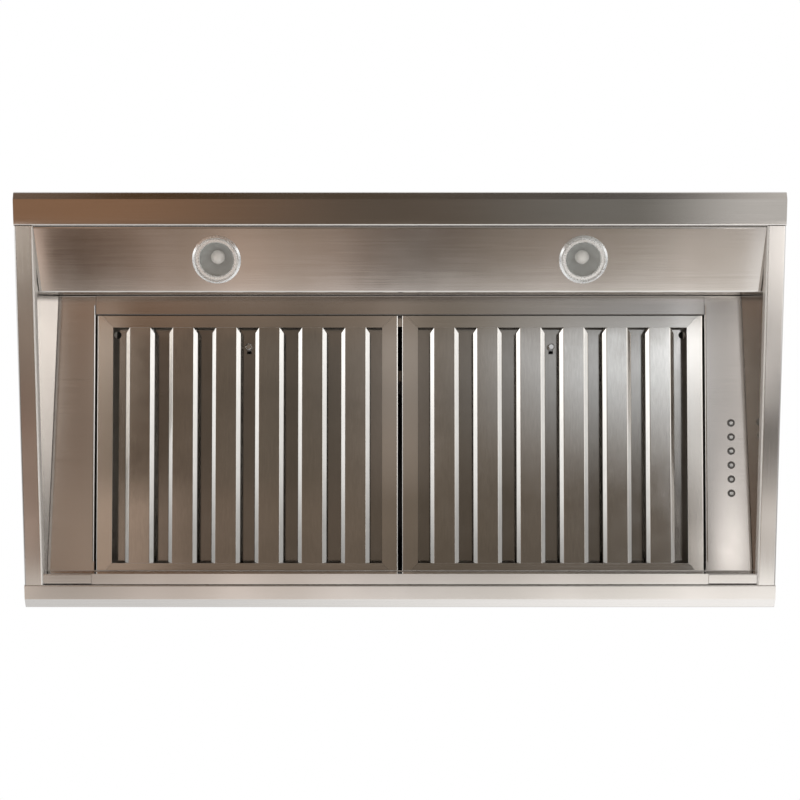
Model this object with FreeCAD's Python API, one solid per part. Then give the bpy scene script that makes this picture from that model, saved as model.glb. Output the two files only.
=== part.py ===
"""Wall-mounted chimney range hood with two baffle filters, seen from below in its reference view.

Millimetres. X runs right along the wall, Y runs from the front of the hood to the wall, Z is up.
The origin is the centre of the rim's underside.
"""
import FreeCAD, Part
import math
import os

Vec = FreeCAD.Vector

# Canopy
WIDTH = 914.0
DEPTH = 502.0
FASCIA = 60.0
CANOPY_HEIGHT = 290.0
SHEET = 1.0
BEND = 1.5
SHARP_BEND = 0.6
RIM_BAND = 15.0
FRONT_LIP = 39.8
REAR_LIP = 28.7
SIDE_RIM = 22.5
FACET = 9.0
REAR_FACET = 11.0
FACET_RISE = 4.0
HEM = 12.0
TOP_FLANGE = 15.0
FIT = 0.15

# Wall fixing
WALL_HOLE_R = 4.0
WALL_HOLES_ACROSS = 500.0
WALL_HOLES_UP = 90.0
WALL_HOLES_LOW = 80.0

# Inner liners, light panel and lamps
LINER_LEAN = 0.25
LINER_FOOT = 9.0
LINER_RISE = 8.0
LIGHT_LOW = 2.5
LIGHT_HIGH = 18.0
LIGHT_REAR_FROM_FRONT = 119.0
JOGGLE_DROP = 14.5
RAIL_UPSTAND = 18.0
LAMP_FROM_SIDE = 238.3
LAMP_R = 29.0
LAMP_FLANGE = 2.4
LAMP_SLEEVE_R = 24.2
LAMP_SLEEVE_WALL = 1.4
LAMP_SLEEVE_HEIGHT = 14.0
LAMP_WINDOW_R = 20.2
LAMP_GLASS = 2.0
LAMP_LEDGE = 1.5
LAMP_DEPTH = 23.0
LAMP_BOWL = 2.8
LAMP_BULB_R = 8.5
LAMP_BASE_R = 5.0
LAMP_CAN_WALL = 0.8
LAMP_CAN_HEIGHT = 36.0
LAMP_SOCKET_R = 10.0

# Filters, which lie in a plane that falls towards the wall
SLOPE_DEG = 8.0
SILL_FROM_WALL = 41.6
SILL_Z = 17.3
BEAD_R = 1.5
FILTER_REST = 0.3
FILTER_DEPTH = 24.0
FILTER_GAP = 5.0
FILTER_SIDE_GAP = 2.2
FILTER_FRONT_GAP = 0.6
FRONT_LEAN = 1.6
FILTER_TAIL = 9.6
FILLER_MARGIN = 81.0
RAIL_STEP = 5.2
SIDE_RAIL = 19.5
FRONT_RAIL = 14.4
REAR_RAIL = 19.5
FRAME_SHEET = 1.0
FRAME_ROUND = 1.5
MITRE_GAP = 0.2
BAFFLE_SHEET = 0.8
BAFFLE_MARGIN = 25.9
BAFFLE_SLOT = 17.3
BAFFLE_LIP = 5.3
LOWER_LIP_RISE = 3.3
UPPER_LIP_RISE = 1.9
LIP_TAPER = 7.5
BAFFLE_UPRIGHT = 2.0
BAFFLE_REST = 0.2
FRONT_BAFFLES = 6
END_HOLE_R = 4.5
END_HOLE_OUTWARD = 4.5
END_HOLE_FROM_FRONT = 22.4
STOP_FLANGE = 12.0
FRONT_STRIP = 24.6

# Filter latch
LATCH_FROM_FRONT = 37.4
KNOB_R = 4.0
KNOB_BEVEL = 1.2
KNOB_LENGTH = 9.0
LATCH_STEM_R = 2.5
LATCH_WIDTH = 14.0
LATCH_THICK = 1.8
LATCH_REACH = 4.5
LATCH_TRAVEL = 6.0
LATCH_PLAY = 0.3

# Grease trough and filler panels
TROUGH_SHEET = 0.8
TROUGH_Z = 2.6
TROUGH_GAP = 0.4
TROUGH_TOP = 20.0
TROUGH_FLANGE = 25.0
FILLER_UPSTAND = 20.0
FILLER_LAP = 12.0
SEAM = 0.4

# Push buttons
BUTTON_COUNT = 6
BUTTON_PITCH = 17.3
BUTTON_FROM_SIDE = 49.0
BUTTON_ROW_FROM_SILL = 139.0
BUTTON_R = 2.4
BUTTON_PLAY = 0.08
BUTTON_PROUD = 2.4
BUTTON_BEVEL = 0.6
BUTTON_TRAVEL = 2.0
BEZEL_R = 4.7
BEZEL_FLANGE = 0.8
BEZEL_WALL = 1.0
BEZEL_SLEEVE = 4.6
COLLAR_R = 4.1
COLLAR_THICK = 1.0
STEM_LENGTH = 10.0
SWITCH_SIDE = 9.0
SWITCH_BORE = 7.0
BOARD_THICK = 1.6
BOARD_Z = 22.0
BOX_WIDTH = 22.0
BOX_WALL = 1.5
BOX_HEIGHT = 29.0

# Blower
SCROLL_WIDTH = 130.0
SCROLL_SHEET = 1.0
SCROLL_STEP = 12.0
TONGUE_R = 84.0
TONGUE_DEG = 55.0
SHAFT_FROM_WALL = 102.6
SHAFT_Z = 170.0
INLET_R = 62.0
INLET_FLANGE = 8.0
INLET_LIP_R = 4.0
SCROLL_FLANGE = 15.0
IMPELLER_R = 75.0
IMPELLER_INNER_R = 62.5
IMPELLER_WIDTH = 108.0
IMPELLER_RING = 1.5
BLADES = 28
BLADE_SHEET = 0.9
BLADE_SWEEP_DEG = 9.0
BLADE_BOW = 2.6
HUB_R = 12.0
HUB_WIDTH = 20.0
SHAFT_R = 4.0
SHAFT_PLAY = 0.05
SHAFT_LEFT = 88.0
MOTOR_R = 42.0
MOTOR_LEFT = 92.0
MOTOR_RIGHT = 24.0
MOTOR_BELL = 8.0
MOTOR_BOSS_R = 11.0
BRACKET_SHEET = 2.0
BRACKET_RING = 9.0
BRACKET_ARM = 16.0
BRACKET_REACH = 77.0
BRACKET_FOOT = 11.0
BRACKET_ARMS_DEG = (30, 150, 270)
CAPACITOR_R = 16.0
CAPACITOR_LENGTH = 62.0
CAPACITOR_X = 105.0
CAPACITOR_STUD_R = 4.0

# Duct collar and damper
DECK = 1.2
DECK_UPSTAND = 20.0
DECK_SCREW_INSET = 45.0
DUCT_R = 75.0
COLLAR_SHEET = 1.0
COLLAR_FLANGE = 15.0
COLLAR_LOFT = 35.0
COLLAR_TUBE = 50.0
ROD_R = 2.0
ROD_SEAT = 0.3
ROD_ABOVE_LOFT = 24.0
FLAP_R = 72.0
FLAP_SHEET = 0.8
FLAP_SLEEVE = 1.2
FLAP_PLAY = 0.06
FLAP_REAR_SLEEVE = 56.0
FLAP_FRONT_SLEEVE = 28.0
FLAP_SLEEVE_GAP = 4.0
FLAP_NOTCH = 0.6
FLAP_STOP = 9.6

# Chimney
CHIMNEY_WIDTH = 300.0
CHIMNEY_DEPTH = 265.0
CHIMNEY_SHEET = 1.0
CHIMNEY_RETURN = 20.0
CHIMNEY_SCREW_INSET = 80.0
CHIMNEY_LOWER = 420.0
CHIMNEY_UPPER = 420.0
CHIMNEY_OVERLAP = 311.0
CHIMNEY_SLIP = 0.5
CHIMNEY_CORNER = 2.0
BRACKET_HEIGHT = 36.0
BRACKET_WING = 30.0
BRACKET_JOGGLE = 12.0
BRACKET_HOLES_ACROSS = 140.0
JUNCTION_WIDTH = 46.0
JUNCTION_DEPTH = 76.0
JUNCTION_HEIGHT = 42.0
JUNCTION_WALL = 1.2
KNOCKOUT_R = 11.0

# Screws
SCREW_R = 2.0
SCREW_HEAD_R = 4.0
SCREW_HEAD = 2.4
SCREW_BEVEL = 1.4
SCREW_LENGTH = 7.0
SCREW_PLAY = 0.15

# Places that follow from the sizes above
HALF = WIDTH / 2
FRONT = -DEPTH / 2
WALL = DEPTH / 2
CHIMNEY_HALF = CHIMNEY_WIDTH / 2
CHIMNEY_FRONT = WALL - CHIMNEY_DEPTH
RIM_FRONT = FRONT + FRONT_LIP
RIM_REAR = WALL - REAR_LIP
RIM_SIDE = HALF - SIDE_RIM
DECK_TOP = CANOPY_HEIGHT + DECK

SLOPE = math.radians(SLOPE_DEG)
SILL_Y = WALL - SILL_FROM_WALL
SILL_FRONT = SILL_Y - TROUGH_SHEET / 2
TROUGH_REAR = RIM_REAR - TROUGH_GAP
PLANE_LIFT = BEAD_R + FILTER_REST
PLANE_Y = SILL_Y + PLANE_LIFT * math.sin(SLOPE)
PLANE_Z = SILL_Z + PLANE_LIFT * math.cos(SLOPE)
PLANE = FreeCAD.Placement(Vec(0, PLANE_Y, PLANE_Z), FreeCAD.Rotation(Vec(1, 0, 0), -SLOPE_DEG))

LIGHT_FRONT = RIM_FRONT + FIT
LIGHT_REAR = FRONT + LIGHT_REAR_FROM_FRONT
STRIP_FRONT = (LIGHT_REAR + RAIL_STEP - PLANE_Y) / math.cos(SLOPE)
STRIP_REAR = STRIP_FRONT + FRONT_STRIP
JOGGLE_Z = PLANE_Z - STRIP_FRONT * math.sin(SLOPE) - JOGGLE_DROP
FILTER_FRONT = STRIP_REAR + FILTER_FRONT_GAP
FILLER_EDGE = HALF - FILLER_MARGIN
FILTER_WIDTH = FILLER_EDGE - FILTER_SIDE_GAP - FILTER_GAP / 2
FILTER_X = (FILTER_WIDTH + FILTER_GAP) / 2
BAFFLE_PITCH = (FILTER_WIDTH - 2 * BAFFLE_MARGIN) / FRONT_BAFFLES
BAFFLE_FLAT = BAFFLE_PITCH - BAFFLE_SLOT - 2 * BAFFLE_LIP
BUTTON_X = HALF - BUTTON_FROM_SIDE
LATCH_Y = FILTER_FRONT + LATCH_FROM_FRONT
BAFFLE_TOP = FILTER_DEPTH - FRAME_SHEET - LATCH_THICK - 2 * LATCH_PLAY
LATCH_Z = BAFFLE_TOP + LATCH_PLAY

LIGHT_TILT = math.atan2(LIGHT_HIGH - LIGHT_LOW, LIGHT_REAR - LIGHT_FRONT)
LAMP_X = HALF - LAMP_FROM_SIDE
LAMP_Y = (LIGHT_FRONT + LIGHT_REAR) / 2
LAMP_Z = (LIGHT_LOW + LIGHT_HIGH) / 2

SHAFT_Y = WALL - SHAFT_FROM_WALL
TONGUE_Y = SHAFT_Y + SCROLL_STEP / 2 + TONGUE_R * math.cos(math.radians(TONGUE_DEG))
OUTLET_FRONT = SHAFT_Y - SCROLL_STEP / 2 - TONGUE_R - 2 * SCROLL_STEP
DUCT_Y = (OUTLET_FRONT + TONGUE_Y) / 2
LOFT_TOP = DECK_TOP + COLLAR_SHEET + COLLAR_LOFT
ROD_Z = LOFT_TOP + ROD_ABOVE_LOFT
FLAP_OUTER = ROD_R + FLAP_PLAY + FLAP_SLEEVE

SCREW_HOLE_R = SCREW_R + SCREW_PLAY


def box(x0, x1, y0, y1, z0, z1):
    return Part.makeBox(x1 - x0, y1 - y0, z1 - z0, Vec(x0, y0, z0))


def rod(radius, start, end):
    axis = end - start
    return Part.makeCylinder(radius, axis.Length, start, axis)


def on_yz(x):
    return lambda u, v: Vec(x, u, v)


def on_xz(y):
    return lambda u, v: Vec(u, y, v)


def on_xy(z):
    return lambda u, v: Vec(u, v, z)


def polygon(corners, at):
    points = [at(u, v) for u, v in corners]
    return Part.Face(Part.makePolygon(points + points[:1]))


def mirrored(shape):
    return shape.mirror(Vec(0, 0, 0), Vec(1, 0, 0))


def placed(shape, placement):
    moved = shape.copy()
    moved.Placement = placement.multiply(moved.Placement)
    return moved


def merged(shapes):
    return shapes[0].fuse(shapes[1:]).removeSplitter()


def folded_face(path, thickness, bend, at):
    """Section of a folded sheet. The path is one face of the sheet, and the metal lies on its left."""
    near = [("line", path[0])]
    heads = []
    for start, end in zip(path, path[1:]):
        length = math.dist(start, end)
        heads.append(((end[0] - start[0]) / length, (end[1] - start[1]) / length))
    sides = [(-head[1], head[0]) for head in heads]
    far = [("line", (path[0][0] + sides[0][0] * thickness, path[0][1] + sides[0][1] * thickness))]
    for index in range(1, len(path) - 1):
        before, after = heads[index - 1], heads[index]
        across = before[0] * after[1] - before[1] * after[0]
        along = before[0] * after[0] + before[1] * after[1]
        turn = math.atan2(across, along)
        hand = 1 if turn > 0 else -1
        near_r = bend + thickness if turn > 0 else bend
        far_r = bend if turn > 0 else bend + thickness
        back = near_r * math.tan(abs(turn) / 2)
        corner = path[index]
        enter = (corner[0] - before[0] * back, corner[1] - before[1] * back)
        leave = (corner[0] + after[0] * back, corner[1] + after[1] * back)
        side_in, side_out = sides[index - 1], sides[index]
        centre = (enter[0] + side_in[0] * near_r * hand, enter[1] + side_in[1] * near_r * hand)
        middle = math.atan2(corner[1] - centre[1], corner[0] - centre[0])
        ray = (math.cos(middle), math.sin(middle))
        near.append(("line", enter))
        near.append(("arc", (centre[0] + ray[0] * near_r, centre[1] + ray[1] * near_r), leave))
        far_in = (enter[0] + side_in[0] * thickness, enter[1] + side_in[1] * thickness)
        far_out = (leave[0] + side_out[0] * thickness, leave[1] + side_out[1] * thickness)
        far.append(("line", far_in))
        far.append(("arc", (centre[0] + ray[0] * far_r, centre[1] + ray[1] * far_r), far_out))
    near.append(("line", path[-1]))
    last = sides[-1]
    far.append(("line", (path[-1][0] + last[0] * thickness, path[-1][1] + last[1] * thickness)))
    edges = walk(near, at)
    edges.append(Part.makeLine(at(*near[-1][-1]), at(*far[-1][-1])))
    edges += walk(far, at)[::-1]
    edges.append(Part.makeLine(at(*far[0][-1]), at(*near[0][-1])))
    return Part.Face(Part.Wire(Part.__sortEdges__(edges)))


def walk(moves, at):
    """Edges through a list of line and arc moves."""
    edges = []
    here = moves[0][-1]
    for move in moves[1:]:
        if move[0] == "line":
            edges.append(Part.makeLine(at(*here), at(*move[1])))
        else:
            edges.append(Part.Arc(at(*here), at(*move[1]), at(*move[2])).toShape())
        here = move[-1]
    return edges


def folded(path, thickness, at, sweep, bend=BEND):
    return folded_face(path, thickness, bend, at).extrude(sweep)


def turned(profile, centre=Vec(0, 0, 0), axis=Vec(0, 0, 1)):
    """Solid of revolution about the local Z axis from a radius and height outline."""
    solid = polygon(profile, on_xz(0)).revolve(Vec(0, 0, 0), Vec(0, 0, 1), 360)
    return placed(solid, FreeCAD.Placement(centre, FreeCAD.Rotation(Vec(0, 0, 1), axis)))


def plane_point(y, z):
    """Y and Z in the hood's frame of a point in the filter plane's own frame."""
    point = PLANE.multVec(Vec(0, y, z))
    return point.y, point.z


def screw(head_seat, direction):
    """Pan-head screw whose head sits on head_seat, with its shank along direction."""
    top = -SCREW_HEAD
    profile = [(0, top), (SCREW_HEAD_R - SCREW_BEVEL, top), (SCREW_HEAD_R, top + SCREW_BEVEL),
               (SCREW_HEAD_R, 0), (SCREW_R, 0), (SCREW_R, SCREW_LENGTH), (0, SCREW_LENGTH)]
    return turned(profile, head_seat, direction)


# Canopy skin


def outside_slope(low, high, inset, at, sweep):
    """Space on the left of the line low to high, after the line moves to its right by inset."""
    length = math.dist(low, high)
    along = ((high[0] - low[0]) / length, (high[1] - low[1]) / length)
    out = (-along[1], along[0])
    start = (low[0] - along[0] * WIDTH - out[0] * inset, low[1] - along[1] * WIDTH - out[1] * inset)
    end = (high[0] + along[0] * WIDTH - out[0] * inset, high[1] + along[1] * WIDTH - out[1] * inset)
    far_end = (end[0] + out[0] * WIDTH, end[1] + out[1] * WIDTH)
    far_start = (start[0] + out[0] * WIDTH, start[1] + out[1] * WIDTH)
    return polygon([start, end, far_end, far_start], at).extrude(sweep)


def canopy_block(inset):
    half = HALF - inset
    block = box(-half, half, FRONT + inset, WALL - inset, RIM_BAND - inset, CANOPY_HEIGHT + inset)
    front = outside_slope((FRONT, FASCIA), (CHIMNEY_FRONT, CANOPY_HEIGHT), inset,
                          on_yz(-WIDTH), Vec(2 * WIDTH, 0, 0))
    side = outside_slope((CHIMNEY_HALF, CANOPY_HEIGHT), (HALF, FASCIA), inset,
                         on_xz(-WIDTH), Vec(0, 2 * WIDTH, 0))
    return block.cut([front, side, mirrored(side)])


def canopy_skin():
    return canopy_block(0).cut(canopy_block(SHEET))


def upright_prism(plan):
    return polygon(plan, on_xy(-CANOPY_HEIGHT)).extrude(Vec(0, 0, 3 * CANOPY_HEIGHT))


def hip_inner():
    """Point of the hip line, in plan, at the rear of the front panel's top flange."""
    inward = TOP_FLANGE * (HALF - CHIMNEY_HALF) / (CHIMNEY_FRONT - FRONT)
    return CHIMNEY_HALF - inward, CHIMNEY_FRONT + TOP_FLANGE


def front_panel():
    inner_x, inner_y = hip_inner()
    region = upright_prism([(-HALF, FRONT), (HALF, FRONT), (inner_x, inner_y), (-inner_x, inner_y)])
    flange = box(-CHIMNEY_HALF, CHIMNEY_HALF, CHIMNEY_FRONT, inner_y, CANOPY_HEIGHT - SHEET, CANOPY_HEIGHT)
    path = [(FRONT, RIM_BAND), (FRONT, FACET_RISE), (FRONT + FACET, 0), (RIM_FRONT, 0), (RIM_FRONT, HEM)]
    lip = folded(path, SHEET, on_yz(-HALF), Vec(WIDTH, 0, 0))
    return merged([canopy_skin().common(region), flange.common(region), lip])


def rear_panel():
    plate = canopy_skin().common(box(-WIDTH, WIDTH, WALL - SHEET, WALL, 0, CANOPY_HEIGHT))
    reach = CHIMNEY_HALF - TOP_FLANGE
    flange = box(-reach, reach, WALL - TOP_FLANGE, WALL, CANOPY_HEIGHT - SHEET, CANOPY_HEIGHT)
    path = [(RIM_REAR, HEM), (RIM_REAR, 0), (WALL - REAR_FACET, 0), (WALL, FACET_RISE), (WALL, RIM_BAND)]
    lip = folded(path, SHEET, on_yz(-HALF), Vec(WIDTH, 0, 0), SHARP_BEND)
    holes = []
    for x in (-WALL_HOLES_ACROSS / 2, WALL_HOLES_ACROSS / 2):
        for z in (WALL_HOLES_LOW, WALL_HOLES_LOW + WALL_HOLES_UP):
            holes.append(rod(WALL_HOLE_R, Vec(x, WALL - 2 * SHEET, z), Vec(x, WALL + SHEET, z)))
    return merged([plate, flange, lip]).cut(holes)


def right_side_panel():
    inner_x, inner_y = hip_inner()
    rear = WALL - SHEET
    region = upright_prism([(HALF, FRONT), (HALF, rear), (inner_x, rear), (inner_x, inner_y)])
    flange = box(CHIMNEY_HALF - TOP_FLANGE, CHIMNEY_HALF, CHIMNEY_FRONT, rear,
                 CANOPY_HEIGHT - SHEET, CANOPY_HEIGHT)
    rim = folded([(RIM_SIDE, HEM), (RIM_SIDE, 0), (HALF, 0), (HALF, RIM_BAND)],
                 SHEET, on_xz(RIM_FRONT), Vec(0, RIM_REAR - RIM_FRONT, 0))
    low = SHEET / 2
    front_end = [(FRONT + SHEET, RIM_BAND), (FRONT + SHEET, FACET_RISE + low), (FRONT + FACET, low),
                 (RIM_FRONT, low), (RIM_FRONT, RIM_BAND)]
    rear_end = [(rear, RIM_BAND), (rear, FACET_RISE + low), (WALL - REAR_FACET, low),
                (RIM_REAR, low), (RIM_REAR, RIM_BAND)]
    ends = [polygon(end, on_yz(HALF - SHEET)).extrude(Vec(SHEET, 0, 0)) for end in (front_end, rear_end)]
    whole = merged([canopy_skin().common(region), flange.common(region), rim] + ends)
    holes = screw_holes(deck_screw_spots(), CANOPY_HEIGHT - 2 * SHEET, CANOPY_HEIGHT + SHEET)
    return whole.cut([front_panel(), rear_panel()] + holes)


def left_side_panel():
    return mirrored(right_side_panel())


def outlet_opening(inset):
    """Plan of the blower's outlet: x0, x1, y0, y1."""
    half = SCROLL_WIDTH / 2 - inset
    return -half, half, OUTLET_FRONT + inset, TONGUE_Y - inset


def deck_screw_spots():
    x = CHIMNEY_HALF - TOP_FLANGE / 2
    rows = (CHIMNEY_FRONT + DECK_SCREW_INSET, WALL - DECK_SCREW_INSET)
    return [(side * x, y) for side in (-1, 1) for y in rows]


def collar_screw_spots():
    x0, x1, y0, y1 = outlet_opening(-COLLAR_FLANGE / 2)
    return [(x, y) for x in (x0, x1) for y in (y0, y1)]


def screw_holes(spots, z0, z1):
    return [rod(SCREW_HOLE_R, Vec(x, y, z0), Vec(x, y, z1)) for x, y in spots]


def upstand_line():
    """Outer face of the deck's upstand, which the lower chimney slips over: half width and front."""
    slip = CHIMNEY_SHEET + CHIMNEY_SLIP
    return CHIMNEY_HALF - slip, CHIMNEY_FRONT + slip


def top_deck():
    half, front = upstand_line()
    rear = WALL - CHIMNEY_SHEET - CHIMNEY_SLIP - CHIMNEY_CORNER
    plate = box(-CHIMNEY_HALF, CHIMNEY_HALF, CHIMNEY_FRONT, WALL, CANOPY_HEIGHT, DECK_TOP)
    wall = box(-half, half, front, rear, CANOPY_HEIGHT, DECK_TOP + DECK_UPSTAND)
    corners = [edge for edge in wall.Edges if edge.BoundBox.ZLength > DECK and edge.BoundBox.YMax < DUCT_Y]
    wall = wall.makeFillet(CHIMNEY_CORNER, corners)
    wall = wall.cut(box(-half + DECK, half - DECK, front + DECK, WALL, 0, 2 * CANOPY_HEIGHT))
    cuts = [box(*outlet_opening(SCROLL_SHEET), 0, 2 * CANOPY_HEIGHT)]
    cuts += screw_holes(deck_screw_spots() + collar_screw_spots(), CANOPY_HEIGHT - DECK, DECK_TOP + DECK)
    cuts.append(rod(CAPACITOR_STUD_R + SCREW_PLAY, Vec(CAPACITOR_X, DUCT_Y, CANOPY_HEIGHT - DECK),
                    Vec(CAPACITOR_X, DUCT_Y, DECK_TOP + DECK)))
    cuts += chimney_screw_holes()
    return merged([plate, wall]).cut(cuts)


# Inner sheets round the opening


def below_plane(height):
    """Everything under the filter plane raised by height."""
    return placed(box(-WIDTH, WIDTH, -WIDTH, WIDTH, -WIDTH, height), PLANE)


def between_liners(gap):
    """Space between the two side liners, gap clear of them."""
    knee = HEM + SHEET + SHEET / LINER_LEAN
    side = RIM_SIDE - gap
    top = CANOPY_HEIGHT
    top_side = side - LINER_LEAN * (top - knee)
    corners = [(-side, -HEM), (side, -HEM), (side, knee), (top_side, top), (-top_side, top), (-side, knee)]
    return polygon(corners, on_xz(-WIDTH)).extrude(Vec(0, 2 * WIDTH, 0))


def right_liner():
    face_x = RIM_SIDE + SHEET
    knee = HEM + SHEET
    top = CANOPY_HEIGHT / 2
    top_x = face_x - LINER_LEAN * (top - knee)
    wall = folded([(top_x, top), (face_x, knee), (face_x, knee - LINER_FOOT)],
                  SHEET, on_xz(RIM_FRONT), Vec(0, RIM_REAR - RIM_FRONT, 0))
    return wall.common(below_plane(LINER_RISE))


def left_liner():
    return mirrored(right_liner())


def lamp_place(side):
    return FreeCAD.Placement(Vec(side * LAMP_X, LAMP_Y, LAMP_Z),
                             FreeCAD.Rotation(Vec(1, 0, 0), math.degrees(LIGHT_TILT)))


def light_panel():
    path = [(LIGHT_FRONT, HEM), (LIGHT_FRONT, LIGHT_LOW), (LIGHT_REAR, LIGHT_HIGH), (LIGHT_REAR, JOGGLE_Z),
            plane_point(STRIP_FRONT, 2 * BEND), plane_point(STRIP_FRONT, RAIL_UPSTAND)]
    sheet = folded(path, SHEET, on_yz(-HALF), Vec(WIDTH, 0, 0)).common(between_liners(FIT))
    hole = Part.makeCylinder(LAMP_SLEEVE_R + FIT, 8 * SHEET, Vec(0, 0, -4 * SHEET))
    return sheet.cut([placed(hole, lamp_place(side)) for side in (-1, 1)])


def latch_slot(play):
    """Space that one latch bar needs, in the filter plane's frame, about its filter's middle."""
    half = LATCH_WIDTH / 2 + play
    return box(-half, half, FILTER_FRONT - 2 * LATCH_REACH, LATCH_Y,
               LATCH_Z - play, LATCH_Z + LATCH_THICK + play)


def filter_sides():
    return (-FILTER_X, FILTER_X)


def front_filter_rail():
    stop = FILTER_DEPTH + FILTER_REST
    path = [(STRIP_FRONT, RAIL_UPSTAND), (STRIP_FRONT, 0), (STRIP_REAR, 0), (STRIP_REAR, stop),
            (STRIP_REAR + STOP_FLANGE, stop)]
    reach = FILLER_EDGE - SEAM
    rail = folded(path, SHEET, on_yz(-reach), Vec(2 * reach, 0, 0), SHARP_BEND)
    slots = []
    for x in filter_sides():
        slots.append(latch_slot(LATCH_PLAY).translated(Vec(x, 0, 0)))
    return placed(rail.cut(slots), PLANE)


def right_filler():
    """Sheet beside the right filter: it covers the plane up to the liner and closes the trough's end."""
    plate = folded([(FILLER_EDGE, FILLER_UPSTAND), (FILLER_EDGE, 0), (HALF, 0)],
                   SHEET, on_xz(STRIP_FRONT), Vec(0, -FILLER_LAP - STRIP_FRONT, 0))
    turn_up = folded([(STRIP_FRONT, RAIL_UPSTAND), (STRIP_FRONT, 0), (STRIP_FRONT + FILLER_LAP, 0)],
                     SHEET, on_yz(FILLER_EDGE), Vec(HALF - FILLER_EDGE, 0, 0))
    plate = plate.cut(box(0, WIDTH, STRIP_FRONT - SHEET, STRIP_FRONT + FILLER_LAP, -SHEET, WIDTH))
    corner_z = PLANE_Z + (PLANE_Y - SILL_FRONT) * math.tan(SLOPE)
    tail = folded([plane_point(-FILLER_LAP, 0), (SILL_FRONT, corner_z), (SILL_FRONT, TROUGH_Z),
                   (TROUGH_REAR, TROUGH_Z), (TROUGH_REAR, SILL_Z)],
                  SHEET, on_yz(FILLER_EDGE), Vec(HALF - FILLER_EDGE, 0, 0), SHARP_BEND)
    whole = merged([placed(plate, PLANE), placed(turn_up, PLANE), tail])
    return whole.common(between_liners(FIT))


def left_filler_panel():
    return mirrored(right_filler())


def control_panel():
    hole = Part.makeCylinder(bezel_sleeve_r() + FIT, 4 * SHEET, Vec(0, 0, -SHEET))
    return right_filler().cut([placed(hole, place) for place in button_places()])


def trough_reach():
    return FILLER_EDGE - SEAM


def trough_sill():
    """Front wall of the grease trough, with the bead that the filters hook over."""
    reach = trough_reach()
    wall = box(-reach, reach, SILL_FRONT, SILL_FRONT + TROUGH_SHEET, TROUGH_Z, SILL_Z)
    bead = rod(BEAD_R, Vec(-reach, SILL_Y, SILL_Z), Vec(reach, SILL_Y, SILL_Z))
    return merged([wall, bead])


def grease_trough():
    """Floor strip of the trough between its sill and its apron."""
    reach = trough_reach()
    return box(-reach, reach, SILL_FRONT + TROUGH_SHEET, TROUGH_REAR, TROUGH_Z, TROUGH_Z + TROUGH_SHEET)


def trough_apron():
    """Rear wall of the trough, which runs on to a flange on the rear panel."""
    reach = trough_reach()
    back = WALL - SHEET
    path = [(TROUGH_REAR, TROUGH_Z + TROUGH_SHEET), (TROUGH_REAR, TROUGH_TOP), (back, TROUGH_TOP),
            (back, TROUGH_TOP + TROUGH_FLANGE)]
    return folded(path, TROUGH_SHEET, on_yz(-reach), Vec(2 * reach, 0, 0))


# Lamps, about a local Z axis that points up through the light panel


def lamp_trim():
    inner = LAMP_SLEEVE_R - LAMP_SLEEVE_WALL
    groove = (LAMP_R + LAMP_SLEEVE_R) / 2
    low = -LAMP_FLANGE
    profile = [(LAMP_R, 0), (LAMP_R, low / 3), (LAMP_R + low, low), (groove, low),
               (groove + low / 2, low / 2), (groove + low, low), (LAMP_WINDOW_R - low / 2, low),
               (LAMP_WINDOW_R, 0), (LAMP_WINDOW_R, LAMP_LEDGE), (inner, LAMP_LEDGE),
               (inner, LAMP_SLEEVE_HEIGHT), (LAMP_SLEEVE_R, LAMP_SLEEVE_HEIGHT), (LAMP_SLEEVE_R, 0)]
    return turned(profile)


def lamp_glass():
    radius = LAMP_SLEEVE_R - LAMP_SLEEVE_WALL - FIT
    return Part.makeCylinder(radius, LAMP_GLASS, Vec(0, 0, LAMP_LEDGE))


def lamp_reflector():
    """Bowl with a curved wall between the glass and the socket."""
    wall = LAMP_CAN_WALL
    low = LAMP_LEDGE + LAMP_GLASS
    rim = LAMP_SLEEVE_R - LAMP_SLEEVE_WALL - FIT
    neck = LAMP_BASE_R + FIT
    middle_r = (rim + neck) / 2 + LAMP_BOWL
    middle_z = (low + LAMP_DEPTH) / 2
    top_in, top_out = Vec(neck, 0, LAMP_DEPTH), Vec(neck + wall, 0, LAMP_DEPTH)
    inner = Part.Arc(Vec(rim - wall, 0, low), Vec(middle_r - wall, 0, middle_z), top_in).toShape()
    outer = Part.Arc(top_out, Vec(middle_r, 0, middle_z), Vec(rim, 0, low)).toShape()
    top = Part.makeLine(top_in, top_out)
    bottom = Part.makeLine(Vec(rim, 0, low), Vec(rim - wall, 0, low))
    return Part.Face(Part.Wire([inner, top, outer, bottom])).revolve(Vec(0, 0, 0), Vec(0, 0, 1), 360)


def lamp_capsule():
    shoulder = LAMP_DEPTH - LAMP_BULB_R
    base_low = LAMP_DEPTH - LAMP_BASE_R / 2
    dome = Part.makeSphere(LAMP_BULB_R, Vec(0, 0, shoulder))
    dome = dome.common(box(-LAMP_R, LAMP_R, -LAMP_R, LAMP_R, 0, shoulder))
    neck = Part.makeCone(LAMP_BULB_R, LAMP_BASE_R, base_low - shoulder, Vec(0, 0, shoulder))
    base = Part.makeCylinder(LAMP_BASE_R, LAMP_DEPTH + 3 * LAMP_CAN_WALL - base_low, Vec(0, 0, base_low))
    return merged([dome, neck, base])


def lamp_can():
    """Cup over the lamp, with the socket that holds the capsule's base."""
    inner = LAMP_SLEEVE_R + FIT
    outer = inner + LAMP_CAN_WALL
    top = LAMP_CAN_HEIGHT
    bore = LAMP_BASE_R + FIT
    bore_top = LAMP_DEPTH + 4 * LAMP_CAN_WALL
    profile = [(inner, SHEET), (outer, SHEET), (outer, top), (0, top), (0, bore_top), (bore, bore_top),
               (bore, LAMP_DEPTH), (LAMP_SOCKET_R, LAMP_DEPTH), (LAMP_SOCKET_R, top - LAMP_CAN_WALL),
               (inner, top - LAMP_CAN_WALL)]
    return turned(profile)


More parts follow.
